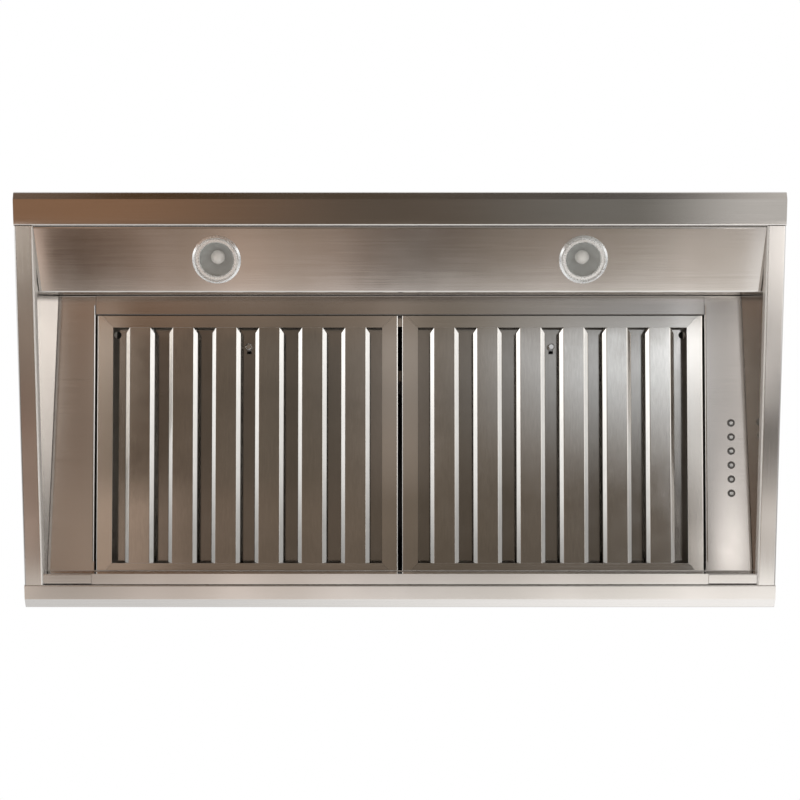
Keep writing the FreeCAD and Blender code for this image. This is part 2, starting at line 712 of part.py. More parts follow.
# Filters, in the filter plane's frame with X from the filter's own middle


def filter_block(inset):
    """Outside of a filter, or the hollow in it: the front leans back, so that its top clears the rail in a swing."""
    half = FILTER_WIDTH / 2 - inset
    low, high = inset, FILTER_DEPTH - inset
    front, rear = FILTER_FRONT + inset, FILTER_TAIL - inset
    lean = FRONT_LEAN / FILTER_DEPTH
    corners = [(front + lean * low, low), (rear, low), (rear, high), (front + lean * high, high)]
    return polygon(corners, on_yz(-half)).extrude(Vec(2 * half, 0, 0))


def filter_frame():
    front, rear = FILTER_FRONT, FILTER_TAIL
    wall = FRAME_SHEET
    block = filter_block(0)
    lower = [edge for edge in block.Edges if edge.BoundBox.ZMax < FRAME_ROUND / 2]
    block = block.makeFillet(FRAME_ROUND, [edge for edge in lower if edge.BoundBox.YMax > front + FRAME_ROUND])
    cavity = filter_block(wall)
    inside = FILTER_WIDTH / 2 - SIDE_RAIL
    opening = box(-inside, inside, front + FRONT_RAIL, rear - REAR_RAIL, -wall, FILTER_DEPTH + wall)
    slits = []
    for side in (-1, 1):
        for y, toward in ((front + FRONT_RAIL, -1), (rear - REAR_RAIL, 1)):
            slit = box(-wall, 2 * SIDE_RAIL, -MITRE_GAP / 2, MITRE_GAP / 2, -wall, FILTER_DEPTH + wall)
            turn = FreeCAD.Rotation(Vec(0, 0, 1), math.degrees(math.atan2(toward, side)))
            slits.append(placed(slit, FreeCAD.Placement(Vec(side * inside, y, 0), turn)))
    ring = block.cut([cavity, opening] + slits)
    return ring.cut(latch_slot(LATCH_PLAY))


def baffle_path(rise):
    """Half of the path is mirrored: a flat with a flared lip and a short upright on both sides."""
    flat = BAFFLE_FLAT / 2
    edge = flat + BAFFLE_LIP
    right = [(flat, 0), (edge, rise), (edge, rise + BAFFLE_UPRIGHT)]
    return [(-x, z) for x, z in reversed(right)] + right


def baffle(front, rear, rise):
    return folded(baffle_path(rise), BAFFLE_SHEET, on_xz(front), Vec(0, rear - front, 0), BAFFLE_SHEET)


def baffle_ends():
    inset = FRAME_SHEET + BAFFLE_REST
    return FILTER_FRONT + FRONT_LEAN + inset, FILTER_TAIL - inset


def filter_front_baffles():
    """Lower strips, whose lips taper off towards the frame's front rail."""
    front, rear = baffle_ends()
    flat = BAFFLE_FLAT / 2
    out = flat + 2 * BAFFLE_LIP
    open_y = FILTER_FRONT + FRONT_RAIL
    slant = 2 * LIP_TAPER
    corner = polygon([(flat, front - FRONT_RAIL), (out, front - FRONT_RAIL), (out, open_y + slant),
                      (flat, open_y)], on_xy(-FILTER_DEPTH)).extrude(Vec(0, 0, 2 * FILTER_DEPTH))
    strip = baffle(front, rear, LOWER_LIP_RISE).cut([corner, mirrored(corner)])
    lift = FRAME_SHEET + BAFFLE_REST
    first = -(FRONT_BAFFLES - 1) / 2
    places = [Vec((first + n) * BAFFLE_PITCH, 0, lift) for n in range(FRONT_BAFFLES)]
    return Part.makeCompound([strip.translated(place) for place in places])


def filter_rear_baffles(side):
    """Upper strips, open side down, with a round hole at the front of the outermost one."""
    front, rear = baffle_ends()
    strip = baffle(front, rear, UPPER_LIP_RISE)
    flip = FreeCAD.Placement(Vec(0, 0, BAFFLE_TOP), FreeCAD.Rotation(Vec(0, 1, 0), 180))
    strip = placed(strip, flip)
    play = LATCH_STEM_R + LATCH_PLAY
    slot = box(-play, play, LATCH_Y - play, LATCH_Y + play + LATCH_TRAVEL, 0, FILTER_DEPTH)
    last = FRONT_BAFFLES / 2 * BAFFLE_PITCH
    hole_y = FILTER_FRONT + END_HOLE_FROM_FRONT
    hole_x = side * (last + END_HOLE_OUTWARD)
    hole = Part.makeCylinder(END_HOLE_R, FILTER_DEPTH, Vec(hole_x, hole_y, 0))
    strips = []
    for n in range(FRONT_BAFFLES + 1):
        moved = strip.translated(Vec(n * BAFFLE_PITCH - last, 0, 0))
        strips.append(moved.cut([slot, hole]))
    return Part.makeCompound([solid for moved in strips for solid in moved.Solids])


def latch_bar():
    half = LATCH_WIDTH / 2
    tip = FILTER_FRONT - LATCH_REACH
    tail = LATCH_Y + 2 * LATCH_STEM_R
    bar = box(-half, half, tip, tail, LATCH_Z, LATCH_Z + LATCH_THICK)
    upright = [edge for edge in bar.Edges if edge.BoundBox.ZLength > LATCH_THICK / 2]
    bar = bar.makeFillet(half / 3, upright)
    return bar.cut(Part.makeCylinder(LATCH_STEM_R, FILTER_DEPTH, Vec(0, LATCH_Y, 0)))


def latch_knob():
    """Turned knob below the rear baffle on a stem that passes up into the bar."""
    neck = BAFFLE_TOP - BAFFLE_SHEET - LATCH_PLAY
    low = neck - KNOB_LENGTH
    top = LATCH_Z + LATCH_THICK
    profile = [(0, low), (KNOB_R - KNOB_BEVEL, low), (KNOB_R, low + KNOB_BEVEL),
               (KNOB_R, neck - KNOB_BEVEL), (LATCH_STEM_R, neck), (LATCH_STEM_R, top), (0, top)]
    return turned(profile, Vec(0, LATCH_Y, 0))


def on_filter(shape, side):
    return placed(shape.translated(Vec(side * FILTER_X, 0, 0)), PLANE)


# Push buttons, each about a local Z axis that points up through the control panel


def button_places():
    places = []
    for n in range(BUTTON_COUNT):
        y = -BUTTON_ROW_FROM_SILL + (n - (BUTTON_COUNT - 1) / 2) * BUTTON_PITCH
        places.append(PLANE.multiply(FreeCAD.Placement(Vec(BUTTON_X, y, 0), FreeCAD.Rotation())))
    return places


def bezel_bore():
    return BUTTON_R + BUTTON_PLAY


def bezel_sleeve_r():
    return bezel_bore() + BEZEL_WALL


def button():
    low = -BUTTON_PROUD
    collar_low = BEZEL_SLEEVE + BUTTON_PLAY
    profile = [(0, low), (BUTTON_R - BUTTON_BEVEL, low), (BUTTON_R, low + BUTTON_BEVEL),
               (BUTTON_R, collar_low), (COLLAR_R, collar_low), (COLLAR_R, collar_low + COLLAR_THICK),
               (BUTTON_R, collar_low + COLLAR_THICK), (BUTTON_R, STEM_LENGTH), (0, STEM_LENGTH)]
    return turned(profile)


def button_bezels():
    bore = bezel_bore()
    sleeve = bezel_sleeve_r()
    low = -BEZEL_FLANGE
    profile = [(bore, low), (BEZEL_R + low / 2, low), (BEZEL_R, low / 2), (BEZEL_R, 0),
               (sleeve, 0), (sleeve, BEZEL_SLEEVE), (bore, BEZEL_SLEEVE)]
    return Part.makeCompound([placed(turned(profile), place) for place in button_places()])


def box_length():
    return BUTTON_COUNT * BUTTON_PITCH + 2 * SWITCH_SIDE


def switch_board():
    """Board with one guide block for each button's stem."""
    low = BEZEL_SLEEVE + COLLAR_THICK + BUTTON_TRAVEL + 4 * BUTTON_PLAY + FIT
    half_x = BOX_WIDTH / 2 - BOX_WALL - FIT
    half_y = box_length() / 2 - BOX_WALL - FIT
    shapes = [box(-half_x, half_x, -half_y, half_y, BOARD_Z, BOARD_Z + BOARD_THICK)]
    bores = []
    for n in range(BUTTON_COUNT):
        y = (n - (BUTTON_COUNT - 1) / 2) * BUTTON_PITCH
        side = SWITCH_SIDE / 2
        shapes.append(box(-side, side, y - side, y + side, low, BOARD_Z))
        bores.append(Part.makeCylinder(bezel_bore(), SWITCH_BORE, Vec(0, y, low)))
    return merged(shapes).cut(bores)


def control_box():
    half_x = BOX_WIDTH / 2
    half_y = box_length() / 2
    in_x, in_y = half_x - BOX_WALL, half_y - BOX_WALL
    lid = BOX_HEIGHT - BOX_WALL
    shell = box(-half_x, half_x, -half_y, half_y, SHEET, BOX_HEIGHT)
    inner = box(-in_x, in_x, -in_y, in_y, 0, lid)
    ledge = box(-in_x, in_x, -in_y, in_y, BOARD_Z - BOX_WALL, BOARD_Z)
    gap = SWITCH_SIDE / 2 + BOX_WALL
    way = box(-gap, gap, -in_y + BOX_WALL, in_y - BOX_WALL, 0, lid)
    return merged([shell.cut(inner), ledge.cut(way)])


def on_controls(shape):
    place = FreeCAD.Placement(Vec(BUTTON_X, -BUTTON_ROW_FROM_SILL, 0), FreeCAD.Rotation())
    return placed(shape, PLANE.multiply(place))


# Blower


def scroll_solid(inset, top):
    """Volute of three arcs round the shaft, drawn in by inset, with an upward outlet."""
    step = SCROLL_STEP
    radii = [TONGUE_R - inset, TONGUE_R + step - inset, TONGUE_R + 2 * step - inset]
    near = Vec(0, SHAFT_Y + step / 2, SHAFT_Z - step / 2)
    low = Vec(0, SHAFT_Y - step / 2, SHAFT_Z - step / 2)
    fore = Vec(0, SHAFT_Y - step / 2, SHAFT_Z + step / 2)

    def on_arc(centre, radius, degrees):
        angle = math.radians(degrees)
        return centre + Vec(0, radius * math.cos(angle), radius * math.sin(angle))

    tongue_y = TONGUE_Y - inset
    tongue_deg = math.degrees(math.acos((tongue_y - near.y) / radii[0]))
    tongue = on_arc(near, radii[0], tongue_deg)
    rear = on_arc(near, radii[0], 0)
    bottom = on_arc(low, radii[1], -90)
    front = on_arc(fore, radii[2], 180)
    edges = [Part.Arc(tongue, on_arc(near, radii[0], tongue_deg / 2), rear).toShape(),
             Part.Arc(rear, on_arc(low, radii[1], -45), bottom).toShape(),
             Part.Arc(bottom, on_arc(fore, radii[2], -135), front).toShape(),
             Part.makeLine(front, Vec(0, front.y, top)),
             Part.makeLine(Vec(0, front.y, top), Vec(0, tongue_y, top)),
             Part.makeLine(Vec(0, tongue_y, top), tongue)]
    half = SCROLL_WIDTH / 2 - inset
    face = Part.Face(Part.Wire(edges)).translated(Vec(-half, 0, 0))
    return face.extrude(Vec(2 * half, 0, 0))


def scroll_housing():
    shell = scroll_solid(0, CANOPY_HEIGHT)
    hollow = scroll_solid(SCROLL_SHEET, CANOPY_HEIGHT + SHEET)
    flange = box(*outlet_opening(-SCROLL_FLANGE), CANOPY_HEIGHT - SCROLL_SHEET, CANOPY_HEIGHT)
    mouth = INLET_R + INLET_LIP_R
    inlet = rod(mouth, Vec(-SCROLL_WIDTH, SHAFT_Y, SHAFT_Z), Vec(SCROLL_WIDTH, SHAFT_Y, SHAFT_Z))
    holes = screw_holes(collar_screw_spots(), CANOPY_HEIGHT - 3 * SCROLL_SHEET, CANOPY_HEIGHT + SHEET)
    return merged([shell, flange]).cut([hollow, inlet] + holes)


def inlet_rings():
    """Bell-mouth ring on each side plate, with a lip that rolls into the inlet."""
    plate = SCROLL_WIDTH / 2
    lip = INLET_LIP_R
    sheet = SCROLL_SHEET
    reach = INLET_R - FIT
    path = [(reach, plate - 2 * lip), (reach, plate), (INLET_R + lip + INLET_FLANGE, plate)]
    section = folded_face(path, sheet, lip, on_xz(0))
    ring = section.revolve(Vec(0, 0, 0), Vec(0, 0, 1), 360)
    turn = FreeCAD.Placement(Vec(0, SHAFT_Y, SHAFT_Z), FreeCAD.Rotation(Vec(0, 0, 1), Vec(1, 0, 0)))
    right = placed(ring, turn)
    return Part.makeCompound([right, mirrored(right)])


def along_shaft(profile):
    """Solid of revolution about the blower's shaft, whose heights are X places."""
    return turned(profile, Vec(0, SHAFT_Y, SHAFT_Z), Vec(1, 0, 0))


def blade():
    sweep = math.radians(BLADE_SWEEP_DEG)
    middle_r = (IMPELLER_R + IMPELLER_INNER_R) / 2
    inner, outer = IMPELLER_INNER_R, IMPELLER_R - IMPELLER_RING / 2

    def spot(radius, angle, aside):
        base = Vec(radius * math.cos(angle), radius * math.sin(angle), -IMPELLER_WIDTH / 2)
        return base + Vec(-math.sin(angle), math.cos(angle), 0) * aside

    near = Part.Arc(spot(inner, 0, 0), spot(middle_r, sweep / 2, -BLADE_BOW),
                    spot(outer, sweep, 0)).toShape()
    end = Part.makeLine(spot(outer, sweep, 0), spot(outer, sweep, BLADE_SHEET))
    far = Part.Arc(spot(outer, sweep, BLADE_SHEET), spot(middle_r, sweep / 2, BLADE_SHEET - BLADE_BOW),
                   spot(inner, 0, BLADE_SHEET)).toShape()
    start = Part.makeLine(spot(inner, 0, BLADE_SHEET), spot(inner, 0, 0))
    return Part.Face(Part.Wire([near, end, far, start])).extrude(Vec(0, 0, IMPELLER_WIDTH))


def impeller():
    """Double-inlet wheel: a middle disc on a hub, two end rings and a cage of curved blades."""
    half = IMPELLER_WIDTH / 2
    ring = IMPELLER_RING
    disc = Part.makeCylinder(IMPELLER_R, ring, Vec(0, 0, -ring / 2))
    hub = Part.makeCylinder(HUB_R, HUB_WIDTH, Vec(0, 0, -HUB_WIDTH / 2))
    rims = []
    for z in (-half, half - ring):
        rim = Part.makeCylinder(IMPELLER_R, ring, Vec(0, 0, z))
        rims.append(rim.cut(Part.makeCylinder(IMPELLER_INNER_R, 3 * ring, Vec(0, 0, z - ring))))
    one = blade()
    blades = []
    for n in range(BLADES):
        turn = FreeCAD.Rotation(Vec(0, 0, 1), 360 * n / BLADES)
        blades.append(placed(one, FreeCAD.Placement(Vec(0, 0, 0), turn)))
    wheel = disc.fuse([hub] + rims + blades)
    wheel = wheel.cut(Part.makeCylinder(SHAFT_R, 2 * HUB_WIDTH, Vec(0, 0, -HUB_WIDTH)))
    turn = FreeCAD.Placement(Vec(0, SHAFT_Y, SHAFT_Z), FreeCAD.Rotation(Vec(0, 0, 1), Vec(1, 0, 0)))
    return placed(wheel, turn)


def motor_shaft():
    return rod(SHAFT_R, Vec(-SHAFT_LEFT, SHAFT_Y, SHAFT_Z), Vec(HUB_WIDTH / 2 + SHAFT_R, SHAFT_Y, SHAFT_Z))


def motor():
    bore = SHAFT_R + SHAFT_PLAY
    left, right = -MOTOR_LEFT, -MOTOR_RIGHT
    end = -HUB_WIDTH / 2 - 2 * SHAFT_R
    shoulder = MOTOR_R - MOTOR_BELL
    bore_end = -SHAFT_LEFT - SHAFT_PLAY
    profile = [(0, left), (shoulder, left), (MOTOR_R, left + MOTOR_BELL), (MOTOR_R, right - MOTOR_BELL),
               (shoulder, right), (MOTOR_BOSS_R, right), (MOTOR_BOSS_R, end), (bore, end),
               (bore, bore_end), (0, bore_end)]
    return along_shaft(profile)


def motor_bracket():
    """Ring round the motor with three arms whose feet stand on the left side plate."""
    plate = -SCROLL_WIDTH / 2
    stand = BRACKET_FOOT / 2
    x1 = plate - stand
    x0 = x1 - BRACKET_SHEET
    inner = MOTOR_R + FIT
    outer = inner + BRACKET_RING
    ring = along_shaft([(inner, x0), (outer, x0), (outer, x1), (inner, x1)])
    band = along_shaft([(inner, x0 - BRACKET_RING), (inner + BRACKET_SHEET, x0 - BRACKET_RING),
                        (inner + BRACKET_SHEET, x0), (inner, x0)])
    arms = []
    middle = (outer + inner) / 2
    for degrees in BRACKET_ARMS_DEG:
        path = [(BRACKET_REACH + BRACKET_FOOT, plate), (BRACKET_REACH, plate), (BRACKET_REACH, x1),
                (middle, x1)]
        arm = folded(path, BRACKET_SHEET, on_xz(-BRACKET_ARM / 2), Vec(0, BRACKET_ARM, 0))
        turn = FreeCAD.Placement(Vec(0, 0, 0), FreeCAD.Rotation(Vec(0, 0, 1), degrees))
        arms.append(placed(arm, turn))
    lay = FreeCAD.Placement(Vec(0, SHAFT_Y, SHAFT_Z), FreeCAD.Rotation(Vec(0, 0, 1), Vec(1, 0, 0)))
    return merged([ring, band] + [placed(arm, lay) for arm in arms])


def capacitor():
    """Can hung under the deck by its stud and nut."""
    top = CANOPY_HEIGHT
    nut = 2 * CAPACITOR_STUD_R
    low = top - CAPACITOR_LENGTH
    bevel = CAPACITOR_STUD_R / 2
    profile = [(0, low), (CAPACITOR_R - bevel, low), (CAPACITOR_R, low + bevel), (CAPACITOR_R, top),
               (CAPACITOR_STUD_R, top), (CAPACITOR_STUD_R, DECK_TOP), (nut, DECK_TOP),
               (nut, DECK_TOP + CAPACITOR_STUD_R), (0, DECK_TOP + CAPACITOR_STUD_R)]
    return turned(profile, Vec(CAPACITOR_X, DUCT_Y, 0))


# Duct collar and damper


def loft_wires(inset):
    """Rectangle at the deck and circle at the duct, each of four matching edges."""
    x0, x1, y0, y1 = outlet_opening(SCROLL_SHEET + inset)
    low = DECK_TOP
    corners = [Vec(x1, y1, low), Vec(x0, y1, low), Vec(x0, y0, low), Vec(x1, y0, low)]
    rectangle = Part.Wire([Part.makeLine(a, b) for a, b in zip(corners, corners[1:] + corners[:1])])
    radius = DUCT_R - inset
    arcs = []
    for quarter in range(4):
        angles = [math.radians(45 + 90 * quarter + part) for part in (0, 45, 90)]
        points = [Vec(radius * math.cos(a), DUCT_Y + radius * math.sin(a), LOFT_TOP) for a in angles]
        arcs.append(Part.Arc(*points).toShape())
    return [rectangle, Part.Wire(arcs)]


def duct_collar():
    """Square-to-round transition on the deck, with the round spigot that a duct slips over."""
    x0, x1, y0, y1 = outlet_opening(-COLLAR_FLANGE)
    wall = COLLAR_SHEET
    flange = box(x0, x1, y0, y1, DECK_TOP, DECK_TOP + wall)
    outer = Part.makeLoft(loft_wires(-wall / 2), True, True)
    inner = Part.makeLoft(loft_wires(wall / 2), True, True)
    foot = Vec(0, DUCT_Y, LOFT_TOP)
    tube = Part.makeCylinder(DUCT_R + wall / 2, COLLAR_TUBE, foot)
    bore = Part.makeCylinder(DUCT_R - wall / 2, COLLAR_TUBE, foot)
    cuts = [inner, bore]
    cuts.append(damper_rod())
    cuts += screw_holes(collar_screw_spots(), DECK_TOP - wall, DECK_TOP + 2 * wall)
    stops = []
    for side in (-1, 1):
        far = DUCT_Y + side * (DUCT_R - wall / 4)
        near = DUCT_Y + side * (FLAP_R - FLAP_STOP / 2)
        top = ROD_Z - FLAP_SHEET / 2 - FILTER_REST
        stops.append(box(-FLAP_STOP / 2, FLAP_STOP / 2, min(near, far), max(near, far), top - wall, top))
    return merged([flange, outer, tube]).cut(cuts).fuse(stops).removeSplitter()


def damper_rod():
    """Rod across the collar, with its ends sprung into dimples of the collar's wall."""
    reach = DUCT_R - COLLAR_SHEET / 2 + ROD_SEAT
    return rod(ROD_R, Vec(-reach, DUCT_Y, ROD_Z), Vec(reach, DUCT_Y, ROD_Z))


def flap_sleeves(side):
    """X spans of the sleeves by which the front (-1) or rear (1) flap turns on the rod."""
    inner = FLAP_REAR_SLEEVE / 2
    if side > 0:
        return [(-inner, inner)]
    start = inner + FLAP_SLEEVE_GAP
    return [(-start - FLAP_FRONT_SLEEVE, -start), (start, start + FLAP_FRONT_SLEEVE)]


def damper_flap(side):
    disc = Part.makeCylinder(FLAP_R, FLAP_SHEET, Vec(0, DUCT_Y, ROD_Z - FLAP_SHEET / 2))
    reach = 2 * FLAP_R
    clear = FLAP_OUTER + FLAP_NOTCH
    own = flap_sleeves(side)

    def slab(x0, x1, y0, y1):
        return box(x0, x1, DUCT_Y + min(y0, y1), DUCT_Y + max(y0, y1), ROD_Z - reach, ROD_Z + reach)

    half = disc.common(slab(-reach, reach, side * FLAP_OUTER / 2, side * reach))
    notch = slab(-reach, reach, -clear, clear).cut([slab(x0, x1, -reach, reach) for x0, x1 in own])
    half = half.cut(notch)
    sleeves = [rod(FLAP_OUTER, Vec(x0, DUCT_Y, ROD_Z), Vec(x1, DUCT_Y, ROD_Z)) for x0, x1 in own]
    bore = rod(ROD_R + FLAP_PLAY, Vec(-reach, DUCT_Y, ROD_Z), Vec(reach, DUCT_Y, ROD_Z))
    return half.fuse(sleeves).cut(bore).removeSplitter()


# Chimney


def chimney_cover(inset, z0, z1):
    """Three-sided cover with returns along the wall, inset inside the lower cover's outline."""
    half = CHIMNEY_HALF - inset
    front = CHIMNEY_FRONT + inset
    rear = WALL - inset
    back = half - CHIMNEY_RETURN
    path = [(-back, rear), (-half, rear), (-half, front), (half, front), (half, rear), (back, rear)]
    return folded(path, CHIMNEY_SHEET, on_xy(z0), Vec(0, 0, z1 - z0), CHIMNEY_CORNER)


def chimney_screw_spots():
    z = DECK_TOP + DECK_UPSTAND / 2
    rows = (CHIMNEY_FRONT + CHIMNEY_SCREW_INSET, WALL - CHIMNEY_SCREW_INSET)
    return [(side, y, z) for side in (-1, 1) for y in rows]


def chimney_screw_holes():
    holes = []
    for side, y, z in chimney_screw_spots():
        holes.append(rod(SCREW_HOLE_R, Vec(side * (CHIMNEY_HALF - SCREW_LENGTH), y, z),
                         Vec(side * (CHIMNEY_HALF + SCREW_LENGTH), y, z)))
    return holes


def chimney_lower():
    return chimney_cover(0, DECK_TOP, DECK_TOP + CHIMNEY_LOWER).cut(chimney_screw_holes())


def chimney_screws():
    return [screw(Vec(side * CHIMNEY_HALF, y, z), Vec(-side, 0, 0)) for side, y, z in chimney_screw_spots()]


def upper_inset():
    return CHIMNEY_SHEET + CHIMNEY_SLIP


def upper_span():
    low = DECK_TOP + CHIMNEY_LOWER - CHIMNEY_OVERLAP
    return low, low + CHIMNEY_UPPER


def bracket_screw_spots():
    z = upper_span()[1] - BRACKET_HEIGHT / 2
    y = WALL - upper_inset() - CHIMNEY_SHEET - BRACKET_WING / 2
    return [(side, y, z) for side in (-1, 1)]


def bracket_screw_holes():
    holes = []
    for side, y, z in bracket_screw_spots():
        holes.append(rod(SCREW_HOLE_R, Vec(side * (CHIMNEY_HALF - 2 * SCREW_LENGTH), y, z),
                         Vec(side * (CHIMNEY_HALF + SCREW_LENGTH), y, z)))
    return holes


def chimney_upper():
    return chimney_cover(upper_inset(), *upper_span()).cut(bracket_screw_holes())


def chimney_bracket():
    """Strap behind the upper cover: its middle lies on the wall and its wings take the cover's screws."""
    low = upper_span()[1] - BRACKET_HEIGHT
    half = CHIMNEY_HALF - upper_inset() - CHIMNEY_SHEET - FIT
    rear = WALL - upper_inset() - CHIMNEY_SHEET - FIT
    pad = half - CHIMNEY_RETURN - BRACKET_JOGGLE
    fore = rear - BRACKET_WING
    path = [(half, fore), (half, rear), (pad + BRACKET_JOGGLE, rear), (pad, WALL), (-pad, WALL),
            (-pad - BRACKET_JOGGLE, rear), (-half, rear), (-half, fore)]
    strap = folded(path, BRACKET_SHEET, on_xy(low), Vec(0, 0, BRACKET_HEIGHT))
    middle = low + BRACKET_HEIGHT / 2
    holes = []
    for x in (-BRACKET_HOLES_ACROSS / 2, BRACKET_HOLES_ACROSS / 2):
        start = Vec(x, WALL - 2 * BRACKET_SHEET, middle)
        holes.append(rod(WALL_HOLE_R, start, Vec(x, WALL + SHEET, middle)))
    return strap.cut(holes + bracket_screw_holes())


def bracket_screws():
    seat = CHIMNEY_HALF - upper_inset()
    return Part.makeCompound([screw(Vec(side * seat, y, z), Vec(-side, 0, 0))
                              for side, y, z in bracket_screw_spots()])


def junction_box():
    """Wiring box on the deck beside the collar, with a round knock-out in its top for the supply."""
    x0 = -upstand_line()[0] + DECK + SCREW_LENGTH
    x1 = x0 + JUNCTION_WIDTH
    y1 = max(y for x, y in deck_screw_spots()) - 2 * SCREW_HEAD_R
    y0 = y1 - JUNCTION_DEPTH
    wall = JUNCTION_WALL
    top = DECK_TOP + JUNCTION_HEIGHT
    outer = box(x0, x1, y0, y1, DECK_TOP, top)
    inner = box(x0 + wall, x1 - wall, y0 + wall, y1 - wall, DECK_TOP + wall, top - wall)
    middle = Vec((x0 + x1) / 2, (y0 + y1) / 2, DECK_TOP + JUNCTION_HEIGHT / 2)
    return outer.cut([inner, Part.makeCylinder(KNOCKOUT_R, JUNCTION_HEIGHT, middle)])


def deck_screws():
    seats = [Vec(x, y, DECK_TOP) for x, y in deck_screw_spots()]
    seats += [Vec(x, y, DECK_TOP + COLLAR_SHEET) for x, y in collar_screw_spots()]
    return [screw(seat, Vec(0, 0, -1)) for seat in seats]


def canopy_screws():
    return Part.makeCompound(deck_screws() + chimney_screws())


def nodes():
    made = {
        "front_panel": front_panel(),
        "left_side_panel": left_side_panel(),
        "right_side_panel": right_side_panel(),
        "rear_panel": rear_panel(),
        "top_deck": top_deck(),
        "left_liner": left_liner(),
        "right_liner": right_liner(),
        "light_panel": light_panel(),
        "front_filter_rail": front_filter_rail(),
        "left_filler_panel": left_filler_panel(),
        "control_panel": control_panel(),
        "trough_sill": trough_sill(),
        "grease_trough": grease_trough(),
        "trough_apron": trough_apron(),
        "button_bezels": button_bezels(),
        "switch_board": on_controls(switch_board()),
        "control_box": on_controls(control_box()),
        "scroll_housing": scroll_housing(),
        "inlet_rings": inlet_rings(),
        "impeller": impeller(),
        "motor_shaft": motor_shaft(),
        "motor": motor(),
        "motor_bracket": motor_bracket(),
        "capacitor": capacitor(),
        "duct_collar": duct_collar(),
        "damper_rod": damper_rod(),
        "damper_flap_front": damper_flap(-1),
        "damper_flap_rear": damper_flap(1),
        "chimney_lower": chimney_lower(),
        "chimney_upper": chimney_upper(),
        "chimney_bracket": chimney_bracket(),
        "canopy_screws": canopy_screws(),
        "bracket_screws": bracket_screws(),
        "junction_box": junction_box(),
    }
    for hand, side in (("left", -1), ("right", 1)):
        for name, make in (("lamp_trim", lamp_trim), ("lamp_glass", lamp_glass),
                           ("lamp_reflector", lamp_reflector), ("lamp_capsule", lamp_capsule),
                           ("lamp_can", lamp_can)):
            made[f"{name}_{hand}"] = placed(make(), lamp_place(side))
        for name, make in (("filter_frame", filter_frame), ("filter_front_baffles", filter_front_baffles),
                           ("latch_bar", latch_bar), ("latch_knob", latch_knob)):
            made[f"{name}_{hand}"] = on_filter(make(), side)
        made[f"filter_rear_baffles_{hand}"] = on_filter(filter_rear_baffles(side), side)
    for number, place in enumerate(button_places(), start=1):
        made[f"button_{number}"] = placed(button(), place)
    return made


def main():
    os.makedirs("parts", exist_ok=True)
    for name, shape in nodes().items():
        shape.exportStep(f"parts/{name}.step")


if __name__ == "__main__":
    main()
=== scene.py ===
import bpy
import math
from mathutils import Matrix, Vector

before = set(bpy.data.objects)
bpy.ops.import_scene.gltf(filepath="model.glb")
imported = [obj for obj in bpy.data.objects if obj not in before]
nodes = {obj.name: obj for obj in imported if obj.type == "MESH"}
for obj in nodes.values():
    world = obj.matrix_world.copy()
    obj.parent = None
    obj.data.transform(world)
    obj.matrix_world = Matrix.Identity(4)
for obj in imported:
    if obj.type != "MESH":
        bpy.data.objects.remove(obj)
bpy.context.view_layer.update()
scene = bpy.context.scene
scene.view_settings.view_transform = "Standard"

HANDS = ("left", "right")
STEEL = (0.60, 0.58, 0.56)
POLISHED = (0.66, 0.64, 0.61)
GALVANISED = (0.50, 0.52, 0.54)


# Node helpers

NOISE_LOW, NOISE_HIGH = 0.3, 0.7  # most of a noise lies between these


def new_material(name):
    material = bpy.data.materials.new(name)
    material.use_nodes = True
    tree = material.node_tree
    shader = next(n for n in tree.nodes if n.type == "BSDF_PRINCIPLED")
    return material, tree, shader


def add(tree, kind, **values):
    node = tree.nodes.new(kind)
    for key, value in values.items():
        setattr(node, key, value)
    return node


def coordinates(tree, scale):
    """Object coordinates, stretched along each axis."""
    place = add(tree, "ShaderNodeTexCoord")
    mapping = add(tree, "ShaderNodeMapping")
    mapping.inputs["Scale"].default_value = scale
    tree.links.new(place.outputs["Object"], mapping.inputs["Vector"])
    return mapping.outputs["Vector"]


def noise(tree, vector, detail, rough=0.6):
    """Noise at the scale of the vector it is given."""
    node = add(tree, "ShaderNodeTexNoise")
    node.inputs["Scale"].default_value = 1.0
    node.inputs["Detail"].default_value = detail
    node.inputs["Roughness"].default_value = rough
    tree.links.new(vector, node.inputs["Vector"])
    return node.outputs["Fac"]


def spread(tree, value, low, high):
    """A noise as numbers from low to high."""
    node = add(tree, "ShaderNodeMapRange")
    node.inputs["From Min"].default_value = NOISE_LOW
    node.inputs["From Max"].default_value = NOISE_HIGH
    node.inputs["To Min"].default_value = low
    node.inputs["To Max"].default_value = high
    tree.links.new(value, node.inputs["Value"])
    return node.outputs["Result"]


def shades(tree, value, dark, light, start=NOISE_LOW, end=NOISE_HIGH):
    """A noise as colours from dark to light."""
    ramp = add(tree, "ShaderNodeValToRGB")
    ramp.color_ramp.elements[0].position = start
    ramp.color_ramp.elements[1].position = end
    ramp.color_ramp.elements[0].color = (*dark, 1)
    ramp.color_ramp.elements[1].color = (*light, 1)
    tree.links.new(value, ramp.inputs["Fac"])
    return ramp.outputs["Color"]


def tint(color, factor):
    return tuple(min(1.0, channel * factor) for channel in color)


def vary_color(tree, shader, value, color, dark, light, **places):
    """Base colour between a dark and a light tint of one colour."""
    varied = shades(tree, value, tint(color, dark), tint(color, light), **places)
    tree.links.new(varied, shader.inputs["Base Color"])


def vary_roughness(tree, shader, value, low, high):
    tree.links.new(spread(tree, value, low, high), shader.inputs["Roughness"])


def bump(tree, shader, height, strength, distance):
    node = add(tree, "ShaderNodeBump")
    node.inputs["Strength"].default_value = strength
    node.inputs["Distance"].default_value = distance
    tree.links.new(height, node.inputs["Height"])
    tree.links.new(node.outputs["Normal"], shader.inputs["Normal"])


# Kinds of material. Scales are per metre, and roughness varies by the offsets named here.

